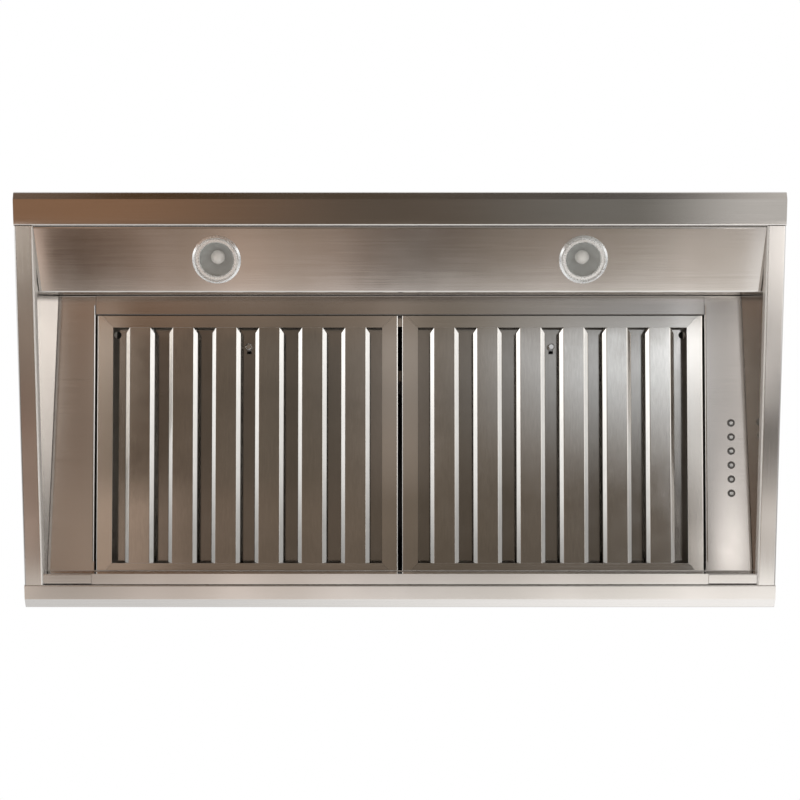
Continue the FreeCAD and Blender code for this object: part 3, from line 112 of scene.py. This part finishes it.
SCRATCH_DEPTH = 0.00005
GRAIN = {"X": (8, 2400, 2400), "Y": (2400, 8, 2400), "Z": (2400, 2400, 8)}
ALONG = {"X": (1, 0, 0), "Y": (0, 1, 0), "Z": (0, 0, 1)}
LEAN = (0.002, 0.003, 0.001)  # keeps the tangent from vanishing where a face looks along the grain
SMUDGE_SCALE, SMUDGE = (9, 9, 9), 0.02
DRAW_LINES, DRAW_STRENGTH = (500, 4, 500), 0.08
HAZE_SCALE, HAZE_BELOW, HAZE_ABOVE = (22, 22, 22), 0.03, 0.06
SPANGLE_END, SPANGLE_ROUGHNESS = 0.8, 0.05
SKIN_ROUGHNESS, SKIN_STRENGTH, SKIN_DEPTH = 0.06, 0.15, 0.0001
GLASS_SCALE, GLASS_IOR, GLASS_HAZE = (90, 90, 90), 1.47, 0.04


def across_grain(tree, shader, axis):
    """Tangent at right angles to the grain, which is the way a brushed highlight spreads."""
    place = add(tree, "ShaderNodeNewGeometry")
    cross = add(tree, "ShaderNodeVectorMath", operation="CROSS_PRODUCT")
    cross.inputs[1].default_value = ALONG[axis]
    lean = add(tree, "ShaderNodeVectorMath", operation="ADD")
    lean.inputs[1].default_value = LEAN
    tree.links.new(place.outputs["Normal"], cross.inputs[0])
    tree.links.new(cross.outputs["Vector"], lean.inputs[0])
    tree.links.new(lean.outputs["Vector"], shader.inputs["Tangent"])


def brushed(name, color, axis, roughness=0.34, anisotropy=0.75, scratch=0.03, grit=0.05):
    """Brushed sheet: fine streaks along one axis, slow smudges, and a highlight spread across the grain."""
    material, tree, shader = new_material(name)
    streaks = noise(tree, coordinates(tree, GRAIN[axis]), detail=4, rough=0.7)
    smudge = noise(tree, coordinates(tree, SMUDGE_SCALE), detail=4)
    shader.inputs["Metallic"].default_value = 1
    shader.inputs["Anisotropic"].default_value = anisotropy
    vary_color(tree, shader, streaks, color, dark=0.93, light=1.06)
    mixed = add(tree, "ShaderNodeMath", operation="ADD")
    tree.links.new(spread(tree, streaks, roughness - grit, roughness + grit), mixed.inputs[0])
    tree.links.new(spread(tree, smudge, -SMUDGE, SMUDGE), mixed.inputs[1])
    tree.links.new(mixed.outputs["Value"], shader.inputs["Roughness"])
    across_grain(tree, shader, axis)
    bump(tree, shader, streaks, scratch, SCRATCH_DEPTH)
    return material


def polished(name, color, roughness):
    """Bright drawn sheet: nearly a mirror, with faint draw lines and finger haze."""
    material, tree, shader = new_material(name)
    lines = noise(tree, coordinates(tree, DRAW_LINES), detail=3)
    haze = noise(tree, coordinates(tree, HAZE_SCALE), detail=5)
    shader.inputs["Metallic"].default_value = 1
    vary_color(tree, shader, lines, color, dark=0.95, light=1.04)
    vary_roughness(tree, shader, haze, roughness - HAZE_BELOW, roughness + HAZE_ABOVE)
    bump(tree, shader, lines, DRAW_STRENGTH, SCRATCH_DEPTH)
    return material


def plain_metal(name, color, roughness, grain=60.0, flecks=0.06, metallic=1.0):
    """Plated or galvanised metal with soft spangle."""
    material, tree, shader = new_material(name)
    cells = add(tree, "ShaderNodeTexVoronoi")
    cells.inputs["Scale"].default_value = grain
    tree.links.new(coordinates(tree, (1, 1, 1)), cells.inputs["Vector"])
    patch = noise(tree, coordinates(tree, (grain, grain, grain)), detail=3)
    shader.inputs["Metallic"].default_value = metallic
    vary_color(tree, shader, cells.outputs["Distance"], color, dark=1 - flecks, light=1 + flecks,
               start=0.0, end=SPANGLE_END)
    vary_roughness(tree, shader, patch, roughness - SPANGLE_ROUGHNESS, roughness + SPANGLE_ROUGHNESS)
    return material


def plastic(name, color, roughness, grain=700.0):
    """Moulded plastic or paint with a fine skin."""
    material, tree, shader = new_material(name)
    skin = noise(tree, coordinates(tree, (grain, grain, grain)), detail=2)
    vary_color(tree, shader, skin, color, dark=0.92, light=1.08)
    vary_roughness(tree, shader, skin, roughness - SKIN_ROUGHNESS, roughness + SKIN_ROUGHNESS)
    bump(tree, shader, skin, SKIN_STRENGTH, SKIN_DEPTH)
    return material


def glass(name, color, roughness, cover=1.0):
    """Glass with a faint film on it: milky, or a clear pane where the cover is low."""
    material, tree, shader = new_material(name)
    film = noise(tree, coordinates(tree, GLASS_SCALE), detail=3)
    shader.inputs["IOR"].default_value = GLASS_IOR
    shader.inputs["Alpha"].default_value = cover
    vary_color(tree, shader, film, color, dark=0.97, light=1.0)
    vary_roughness(tree, shader, film, roughness, roughness + GLASS_HAZE)
    return material


# Materials on the CAD nodes


def dress(material, *names):
    for name in names:
        mesh = nodes[name].data
        mesh.materials.clear()
        mesh.materials.append(material)


steel_x = brushed("steel_brushed_x", STEEL, "X", roughness=0.15, grit=0.03)
steel_light = brushed("steel_light_panel", STEEL, "X", roughness=0.11, grit=0.02)
steel_soft = brushed("steel_brushed_soft", STEEL, "X", roughness=0.15, scratch=0.01, grit=0.02)
steel_y = brushed("steel_brushed_y", STEEL, "Y", roughness=0.15)
steel_z = brushed("steel_brushed_z", STEEL, "Z")
steel_wall = brushed("steel_liner", STEEL, "Y", roughness=0.12, grit=0.03)
rail_x = brushed("filter_rail_x", POLISHED, "X", roughness=0.14, grit=0.03)
# Painted light: the filter frames' side rails in a tint 1.22 times lighter than the front and rear rails.
rail_y_painted_light = brushed("filter_rail_y", tint(POLISHED, 1.22), "Y", roughness=0.13, anisotropy=0.6,
                 scratch=0.01, grit=0.02)
mirror = polished("filter_front_steel", POLISHED, roughness=0.10)
# Painted light: the baffles' faces that turn into the hood, in a tint 1.4 times lighter.
mirror_painted_light = polished("filter_inside_steel_painted_light", tint(POLISHED, 1.40), roughness=0.10)
# Painted shade: the rear baffles, recessed behind the front ones, in a tint 0.7 times as light.
mirror_rear_painted_shade = polished("filter_rear_steel_painted_shade", tint(POLISHED, 0.70), roughness=0.12)
# Painted shade: a dark grey on steel faces that turn into the hood, on the front rail's fold and on the side
# panels' upper inner faces.
painted_shade = plain_metal("painted_shade_inside", (0.17, 0.16, 0.15), 0.55, grain=150)
# Painted light: a lighter, half-metallic steel on faces in shade, inside the filter frames' channels and on the
# side panels' inner faces just above the rim.
painted_light_hem = plain_metal("steel_hem", (0.84, 0.82, 0.79), 0.45, grain=300, flecks=0.03, metallic=0.6)
chrome = plain_metal("chrome", (0.80, 0.80, 0.80), 0.10, grain=200, flecks=0.02)
satin = plain_metal("satin_chrome", (0.87, 0.88, 0.88), 0.26, grain=200, flecks=0.02, metallic=0.72)
button = plain_metal("button_steel", (0.46, 0.46, 0.45), 0.28, grain=500, flecks=0.03)
galvanised = plain_metal("galvanised", GALVANISED, 0.38)
zinc = plain_metal("zinc_screw", (0.70, 0.70, 0.67), 0.30, grain=400)
shaft = plain_metal("shaft_steel", (0.62, 0.62, 0.62), 0.22, grain=300)
motor = plastic("motor_paint", (0.16, 0.17, 0.18), 0.38, grain=400)
# Painted shade: the scroll housing near black, so that the gaps that look into the hood show dark.
blower = plastic("blower_painted_shade", (0.045, 0.045, 0.047), 0.50, grain=400)
capacitor = plastic("capacitor_case", (0.80, 0.80, 0.78), 0.32)
board = plastic("board_laminate", (0.08, 0.26, 0.14), 0.50)
box_plastic = plastic("box_plastic", (0.20, 0.20, 0.21), 0.50)
bezel = plastic("bezel_plastic", (0.10, 0.096, 0.09), 0.40)
lens = glass("lamp_glass_clear", (0.97, 0.98, 0.97), 0.02, cover=0.12)
frosted = glass("capsule_frosted", (0.98, 0.98, 0.95), 0.25)
reflector = plain_metal("reflector_satin", (0.46, 0.48, 0.47), 0.40, grain=150, flecks=0.03, metallic=0.35)

dress(steel_x, "front_panel", "rear_panel", "trough_sill", "grease_trough", "trough_apron")
dress(steel_light, "light_panel")
dress(steel_soft, "front_filter_rail", "left_filler_panel", "control_panel")
dress(steel_z, "chimney_lower", "chimney_upper")
dress(steel_wall, "left_liner", "right_liner")
dress(galvanised, "top_deck", "inlet_rings", "impeller", "motor_bracket", "duct_collar",
      "damper_rod", "damper_flap_front", "damper_flap_rear", "chimney_bracket", "junction_box")
dress(blower, "scroll_housing")
dress(zinc, "canopy_screws", "bracket_screws")
dress(shaft, "motor_shaft")
dress(motor, "motor")
dress(capacitor, "capacitor")
dress(board, "switch_board")
dress(box_plastic, "control_box")
dress(bezel, "button_bezels")
dress(button, *[f"button_{n}" for n in range(1, 7)])

# Faces of one node with different finishes, painted light and painted shade. Lengths are in metres; the other
# limits are parts of a normal.

FILTER_TILT = Matrix.Rotation(math.radians(8), 3, "X")  # lays the hung filter level
SIDE_RAIL, FRONT_RAIL = 0.0195, 0.0144
SKIN = 0.0012
RAIL_TURN = -0.1
FRONT_BAFFLE_TURN, REAR_BAFFLE_TURN = 0.1, -0.8
SIDE_TURN, HEM_TOP = 0.2, 0.03


def dress_frame(name):
    """Mitred filter frame: grain along each rail, a lighter tint on the side rails as painted light, and painted
    light on the faces inside the channel.
    """
    mesh = nodes[name].data
    dress(rail_x, name)
    mesh.materials.append(rail_y_painted_light)
    mesh.materials.append(painted_light_hem)
    corners = [FILTER_TILT @ vertex.co for vertex in mesh.vertices]
    low = [min(corner[axis] for corner in corners) for axis in range(3)]
    high = [max(corner[axis] for corner in corners) for axis in range(3)]
    for face in mesh.polygons:
        spot = FILTER_TILT @ face.center
        to_side = min(spot.x - low[0], high[0] - spot.x)
        to_front, to_rear = spot.y - low[1], high[1] - spot.y
        from_mitre = min(to_front - FRONT_RAIL, to_rear - SIDE_RAIL)
        face.material_index = 1 if to_side - SIDE_RAIL < from_mitre else 0
        depth = min(to_side, to_front - SKIN, to_rear, spot.z - low[2], high[2] - spot.z)
        if depth > SKIN / 2:
            face.material_index = 2


def dress_rail(name):
    """Front rail: painted shade, a dark grey, on the fold and the faces that turn toward the filters."""
    mesh = nodes[name].data
    mesh.materials.append(painted_shade)
    for face in mesh.polygons:
        face.material_index = 1 if face.normal.y > RAIL_TURN else 0


def dress_baffles(name, outside, turn):
    """Baffles: painted light, a lighter tint, on the faces that turn away from the cook."""
    dress(outside, name)
    mesh = nodes[name].data
    mesh.materials.append(mirror_painted_light)
    for face in mesh.polygons:
        face.material_index = 1 if face.normal.z > turn else 0


def dress_side(name, inward):
    """Side panel: painted light, a lighter half-metallic steel, on the inner faces just above its rim, and
    painted shade on the inner faces higher up inside the hood.
    """
    mesh = nodes[name].data
    dress(steel_y, name)
    mesh.materials.append(painted_shade)
    mesh.materials.append(painted_light_hem)
    for face in mesh.polygons:
        if face.normal.x * inward > SIDE_TURN:
            face.material_index = 1 if face.center.z > HEM_TOP else 2


dress_side("left_side_panel", 1)
dress_side("right_side_panel", -1)
dress_rail("front_filter_rail")
for hand in HANDS:
    dress_frame(f"filter_frame_{hand}")
    dress_baffles(f"filter_front_baffles_{hand}", mirror, FRONT_BAFFLE_TURN)
    dress_baffles(f"filter_rear_baffles_{hand}", mirror_rear_painted_shade, REAR_BAFFLE_TURN)
    dress(chrome, f"latch_knob_{hand}")
    dress(satin, f"lamp_trim_{hand}")
    dress(galvanised, f"latch_bar_{hand}", f"lamp_can_{hand}")
    dress(lens, f"lamp_glass_{hand}")
    dress(reflector, f"lamp_reflector_{hand}")
    dress(frosted, f"lamp_capsule_{hand}")


# Stage: a pale floor, white surroundings, and glowing cards that only the steel shows

FLOOR_Z, FLOOR_HALF = -2.2, 60
FLOOR_COLOR, FLOOR_ROUGHNESS = (0.80, 0.79, 0.77, 1), 0.8
WHITE = (1, 1, 1, 1)
ROOM_COLOR, ROOM_STRENGTH = (1.0, 0.98, 0.95, 1), 0.75


def flat_plane(name, corners):
    mesh = bpy.data.meshes.new(name)
    mesh.from_pydata(corners, [], [(0, 1, 2, 3)])
    obj = bpy.data.objects.new(name, mesh)
    scene.collection.objects.link(obj)
    return obj


def level_plane(name, x0, x1, y0, y1, z):
    return flat_plane(name, [(x0, y0, z), (x1, y0, z), (x1, y1, z), (x0, y1, z)])


def upright_plane(name, x, y0, y1, z0, z1):
    return flat_plane(name, [(x, y0, z0), (x, y1, z0), (x, y1, z1), (x, y0, z1)])


def any_ray(tree, *kinds):
    """1 for a ray of one of the kinds, and otherwise 0."""
    path = add(tree, "ShaderNodeLightPath")
    found = path.outputs[kinds[0]]
    for kind in kinds[1:]:
        larger = add(tree, "ShaderNodeMath", operation="MAXIMUM")
        tree.links.new(found, larger.inputs[0])
        tree.links.new(path.outputs[kind], larger.inputs[1])
        found = larger.outputs["Value"]
    return found


def choose(tree, amount, first, second, out):
    """First surface where the amount is 0, and second where it is 1."""
    mix = add(tree, "ShaderNodeMixShader")
    tree.links.new(amount, mix.inputs["Fac"])
    tree.links.new(first, mix.inputs[1])
    tree.links.new(second, mix.inputs[2])
    tree.links.new(mix.outputs["Shader"], out.inputs["Surface"])


def background(tree, color, strength):
    node = add(tree, "ShaderNodeBackground")
    node.inputs["Color"].default_value = color
    node.inputs["Strength"].default_value = strength
    return node.outputs["Background"]


def build_floor():
    """Pale floor, white in metal and glass."""
    floor = level_plane("floor", -FLOOR_HALF, FLOOR_HALF, -FLOOR_HALF, FLOOR_HALF, FLOOR_Z)
    material, tree, shader = new_material("pale_floor")
    shader.inputs["Base Color"].default_value = FLOOR_COLOR
    shader.inputs["Roughness"].default_value = FLOOR_ROUGHNESS
    white = add(tree, "ShaderNodeEmission")
    mirrored = any_ray(tree, "Is Glossy Ray", "Is Transmission Ray")
    choose(tree, mirrored, shader.outputs["BSDF"], white.outputs["Emission"], tree.nodes["Material Output"])
    floor.data.materials.append(material)


def build_world():
    """Room that is white to the camera and in metal and glass, and lights the rest a little less."""
    world = bpy.data.worlds.new("white_room")
    scene.world = world
    world.use_nodes = True
    tree = world.node_tree
    tree.nodes.clear()
    out = add(tree, "ShaderNodeOutputWorld")
    shown = any_ray(tree, "Is Camera Ray", "Is Glossy Ray", "Is Transmission Ray")
    room = background(tree, ROOM_COLOR, ROOM_STRENGTH)
    choose(tree, shown, room, background(tree, WHITE, 1.0), out)


# Cards. Stops and edges are places in metres, and a level of 1 is white.

CARD_Z = -1.50
CARD_X = (-1.6, 1.35)
CARD_Y = (-1.2, 1.2)
BAND_Y = (-0.6, 0.6)
BAND_SOFT = 0.012  # half the width of a band's soft edge
CARD_MARGIN = 0.1  # from a card's outer stops to the ends of its ramp


def grey(value):
    return (value, value, value)


def cool(value):
    return (0.94 * value, value, 1.06 * value)


def glowing(name):
    material = bpy.data.materials.new(name)
    material.use_nodes = True
    tree = material.node_tree
    tree.nodes.clear()
    out = add(tree, "ShaderNodeOutputMaterial")
    glow = add(tree, "ShaderNodeEmission")
    tree.links.new(glow.outputs["Emission"], out.inputs["Surface"])
    return material, tree, glow


def axes(tree):
    """Outputs X, Y and Z with the place in the room."""
    place = add(tree, "ShaderNodeTexCoord")
    split = add(tree, "ShaderNodeSeparateXYZ")
    tree.links.new(place.outputs["Object"], split.inputs["Vector"])
    return split.outputs


def ramp_along(tree, value, low, high, stops):
    """Colours by place: each stop is a place between low and high and its colour."""
    span = add(tree, "ShaderNodeMapRange")
    span.inputs["From Min"].default_value = low
    span.inputs["From Max"].default_value = high
    tree.links.new(value, span.inputs["Value"])
    ramp = add(tree, "ShaderNodeValToRGB")
    ramp.color_ramp.interpolation = "EASE"
    elements = ramp.color_ramp.elements
    while len(elements) < len(stops):
        elements.new(0.5)
    for element, (place, color) in zip(elements, stops):
        element.position = (place - low) / (high - low)
        element.color = (*color, 1)
    tree.links.new(span.outputs["Result"], ramp.inputs["Fac"])
    return ramp.outputs["Color"]


def combine(tree, operation, first, second):
    node = add(tree, "ShaderNodeVectorMath", operation=operation)
    tree.links.new(first, node.inputs[0])
    tree.links.new(second, node.inputs[1])
    return node.outputs["Vector"]


def times(tree, first, second):
    return combine(tree, "MULTIPLY", first, second)


def fade(tree, value, start, end):
    """Smooth rise from 0 at the start to 1 at the end."""
    span = add(tree, "ShaderNodeMapRange", interpolation_type="SMOOTHSTEP")
    span.inputs["From Min"].default_value = start
    span.inputs["From Max"].default_value = end
    tree.links.new(value, span.inputs["Value"])
    return span.outputs["Result"]


def between(tree, value, start, end):
    """1 from start to end, with soft edges."""
    return times(tree, fade(tree, value, start - BAND_SOFT, start + BAND_SOFT),
                 fade(tree, value, end + BAND_SOFT, end - BAND_SOFT))


def blend(tree, amount, first, second):
    node = add(tree, "ShaderNodeMix", data_type="RGBA")
    tree.links.new(amount, node.inputs["Factor"])
    tree.links.new(first, node.inputs["A"])
    tree.links.new(second, node.inputs["B"])
    return node.outputs["Result"]


def hang_card(obj, material):
    """Card that the camera doesn't see and that casts no shadow."""
    obj.data.materials.append(material)
    obj.visible_camera = False
    obj.visible_shadow = False


def shaded_card(obj, name, axis, stops):
    """Card whose glow changes along one axis of the room."""
    material, tree, glow = glowing(name)
    low, high = stops[0][0] - CARD_MARGIN, stops[-1][0] + CARD_MARGIN
    tree.links.new(ramp_along(tree, axes(tree)[axis], low, high, stops), glow.inputs["Color"])
    hang_card(obj, material)


# Zones of the soft card, each along X. The filters' front and rear parts mirror CORE and WARM, the light panel
# MIDDLE, the front rail FRONT and the rear lip REAR. WINDOW is added toward the front right of CORE.
CORE = [(-1.0, (0.10, 0.08, 0.06)), (-0.77, (0.24, 0.17, 0.13)), (-0.62, (0.15, 0.115, 0.09)),
        (-0.30, (0.145, 0.122, 0.098)), (-0.09, (0.15, 0.127, 0.104)), (-0.02, (0.29, 0.245, 0.21)),
        (0.02, (0.28, 0.24, 0.205)), (0.07, (0.17, 0.145, 0.12)), (0.60, (0.18, 0.16, 0.14))]
WARM = [(-1.0, (0.13, 0.105, 0.08)), (-0.70, (0.50, 0.39, 0.32)), (-0.45, (0.18, 0.14, 0.11)),
        (-0.25, (0.18, 0.145, 0.115)), (0.05, (0.15, 0.125, 0.10)), (0.60, (0.17, 0.15, 0.13))]
MIDDLE = [(-0.80, (0.15, 0.09, 0.06)), (-0.36, (0.54, 0.42, 0.34)), (0.04, (0.17, 0.138, 0.117)),
          (0.30, (0.33, 0.28, 0.24)), (0.80, (0.60, 0.56, 0.51))]
FRONT = [(-0.70, (0.34, 0.21, 0.14)), (-0.30, (0.29, 0.22, 0.17)), (0.30, (0.29, 0.26, 0.22)),
         (0.70, (0.16, 0.15, 0.14))]
REAR = [(-0.85, (0.97, 0.92, 0.88)), (0.85, (1.70, 1.74, 1.76))]
WINDOW = [(-0.45, grey(0.0)), (-0.07, grey(0.06)), (0.0, grey(0.20)), (0.06, grey(0.05)),
          (0.14, grey(0.14)), (0.33, cool(0.53)), (0.42, cool(0.83)), (0.60, cool(1.11))]

# Where one zone gives way to the next along Y, and the window's edges
CORE_TO_WARM, TO_MIDDLE, TO_FRONT, TO_REAR = (-0.085, -0.03), (0.24, 0.42), (-0.455, -0.48), (0.535, 0.59)
WINDOW_REAR, WINDOW_FRONT, WINDOW_RIGHT = (-0.04, -0.44), (-0.47, -0.41), (0.68, 0.65)

# Bands of the soft card, each along Y and named by what mirrors it: left and right edge, whether it ends with
# the filters, and its stops
BANDS = (
    # right filter's outer rail
    (0.66, 0.722, True, [(-0.42, cool(2.0)), (-0.17, cool(0.72)), (0.04, cool(0.05))]),
    # control panel
    (0.736, 0.805, True, [(-0.44, grey(0.85)), (-0.22, grey(0.50)), (0.0, grey(1.10)), (0.10, grey(2.7))]),
    # right rim
    (0.832, 0.92, False, [(-0.20, grey(1.9)), (0.0, grey(0.80)), (0.07, grey(0.32)), (0.25, grey(0.22)),
                          (0.35, grey(0.45)), (0.43, grey(1.25)), (0.54, grey(0.80))]),
    # left rim
    (-0.93, -0.845, False, [(-0.20, (2.0, 1.9, 1.78)), (0.0, (0.52, 0.44, 0.39)), (0.21, (0.46, 0.29, 0.24)),
                            (0.34, (0.95, 0.74, 0.65)), (0.44, (1.45, 1.18, 1.05)), (0.54, (1.05, 0.90, 0.80))]),
    # left filter's outer rail
    (-0.722, -0.67, True, [(-0.42, (0.90, 0.79, 0.70)), (-0.17, (0.39, 0.33, 0.28)), (0.04, (0.42, 0.34, 0.28))]),
    # left inner wall, and the lips of some baffles
    (0.93, 1.5, False, [(-0.45, grey(3.2)), (-0.20, grey(2.4)), (0.0, grey(1.6)), (0.09, grey(0.5)),
                        (0.20, grey(0.25)), (0.44, grey(1.0))]),
)
BAND_FRONT, FILTER_REAR, FILTER_FRONT = (-0.64, -0.52), (0.22, 0.14), (-0.475, -0.445)

# Slow unevenness of the soft card: its scale and the tints that it goes between
UNEVEN_X, UNEVEN_X_TINTS = (5, 0.25, 1), ((0.80, 0.78, 0.74), (1.18, 1.14, 1.12))
UNEVEN_Y, UNEVEN_Y_TINTS = (0.7, 15, 1), ((0.84, 0.83, 0.82), (1.16, 1.15, 1.14))


def build_soft_card():
    """Card under the hood, graded like the uneven room that brushed steel mirrors."""
    card = level_plane("soft_card", *CARD_X, *CARD_Y, CARD_Z)
    material, tree, glow = glowing("graded_card")
    place = axes(tree)
    x, y = place["X"], place["Y"]
    core, warm, middle, front, rear, window = [
        ramp_along(tree, x, *CARD_X, stops) for stops in (CORE, WARM, MIDDLE, FRONT, REAR, WINDOW)]
    graded = blend(tree, fade(tree, y, *CORE_TO_WARM), core, warm)
    graded = blend(tree, fade(tree, y, *TO_MIDDLE), graded, middle)
    graded = blend(tree, fade(tree, y, *TO_FRONT), graded, front)
    for start, end, ends_with_filters, stops in BANDS:
        within = times(tree, between(tree, x, start, end), fade(tree, y, *BAND_FRONT))
        if ends_with_filters:
            within = times(tree, within, fade(tree, y, *FILTER_REAR))
            within = times(tree, within, fade(tree, y, *FILTER_FRONT))
        graded = blend(tree, within, graded, ramp_along(tree, y, *BAND_Y, stops))
    graded = blend(tree, fade(tree, y, *TO_REAR), graded, rear)
    spot = times(tree, fade(tree, y, *WINDOW_REAR), fade(tree, y, *WINDOW_FRONT))
    spot = times(tree, spot, fade(tree, x, *WINDOW_RIGHT))
    uneven_x = shades(tree, noise(tree, coordinates(tree, UNEVEN_X), detail=3), *UNEVEN_X_TINTS)
    uneven_y = shades(tree, noise(tree, coordinates(tree, UNEVEN_Y), detail=2), *UNEVEN_Y_TINTS)
    uneven = times(tree, graded, times(tree, uneven_x, uneven_y))
    lit = combine(tree, "ADD", uneven, times(tree, window, spot))
    tree.links.new(lit, glow.inputs["Color"])
    hang_card(card, material)


build_floor()
build_soft_card()
shaded_card(level_plane("front_card", x0=-1.7, x1=1.7, y0=-6.0, y1=-1.2, z=CARD_Z), "front_glow", "X",
            [(-1.1, (0.20, 0.14, 0.10)), (-0.75, (0.09, 0.05, 0.02)), (-0.3, (0.11, 0.08, 0.055)),
             (0.7, (0.12, 0.11, 0.10)), (1.15, (0.76, 0.73, 0.69))])
shaded_card(level_plane("rear_card", x0=-1.6, x1=1.6, y0=1.7, y1=3.2, z=CARD_Z), "rear_glow", "X",
            [(-1.1, grey(0.95)), (1.1, grey(1.5))])
shaded_card(level_plane("lip_card", x0=-0.60, x1=0.60, y0=-0.30, y1=-0.2135, z=-0.06), "lip_glow", "X",
            [(-0.40, (0.34, 0.19, 0.11)), (0.0, (0.14, 0.11, 0.085)), (0.28, (0.23, 0.22, 0.20)),
             (0.45, (0.72, 0.70, 0.67))])
shaded_card(upright_plane("right_softbox", x=1.6, y0=-1.2, y1=1.0, z0=-1.45, z1=-0.05), "right_glow", "Y",
            [(-0.45, grey(1.6)), (-0.10, grey(1.1)), (0.20, grey(0.5))])
shaded_card(upright_plane("left_softbox", x=-1.9, y0=-1.2, y1=1.0, z0=-2.0, z1=-0.30), "left_glow", "Y",
            [(-0.45, grey(2.1)), (-0.10, grey(1.3)), (0.30, grey(0.42))])
build_world()


# Lamps

LAMP_AIM = Vector((0, 0, 0.3))
LAMP_SIZE = 2.6


def area_light(name, place, energy, color):
    light = bpy.data.lights.new(name, "AREA")
    light.shape = "DISK"
    light.size = LAMP_SIZE
    light.energy = energy
    light.color = color
    obj = bpy.data.objects.new(name, light)
    scene.collection.objects.link(obj)
    obj.location = place
    obj.rotation_euler = (LAMP_AIM - Vector(place)).to_track_quat("-Z", "Y").to_euler()


area_light("key_right", (2.2, -1.6, 1.2), energy=9, color=(1.0, 0.98, 0.95))
area_light("fill_left", (-2.4, -1.2, 1.6), energy=5, color=(1.0, 0.97, 0.93))


# Camera, fitted to the photo's edges: below the hood, looking almost straight up

FOCAL_PX, PHOTO_PX, SENSOR_MM = 1381, 800, 36
CAMERA_PLACE = Vector((0, -0.184, -1.645))
LOOK_Y, LOOK_Z = 0.1087, 0.9941

camera_data = bpy.data.cameras.new("camera")
camera_data.sensor_fit = "HORIZONTAL"
camera_data.sensor_width = SENSOR_MM
camera_data.lens = FOCAL_PX / PHOTO_PX * SENSOR_MM
camera = bpy.data.objects.new("camera", camera_data)
scene.collection.objects.link(camera)
look = Vector((0, LOOK_Y, LOOK_Z)).normalized()
up = Vector((0, -LOOK_Z, LOOK_Y)).normalized()
turned = Matrix((look.cross(up), up, -look)).transposed().to_4x4()
camera.matrix_world = Matrix.Translation(CAMERA_PLACE) @ turned
scene.camera = camera
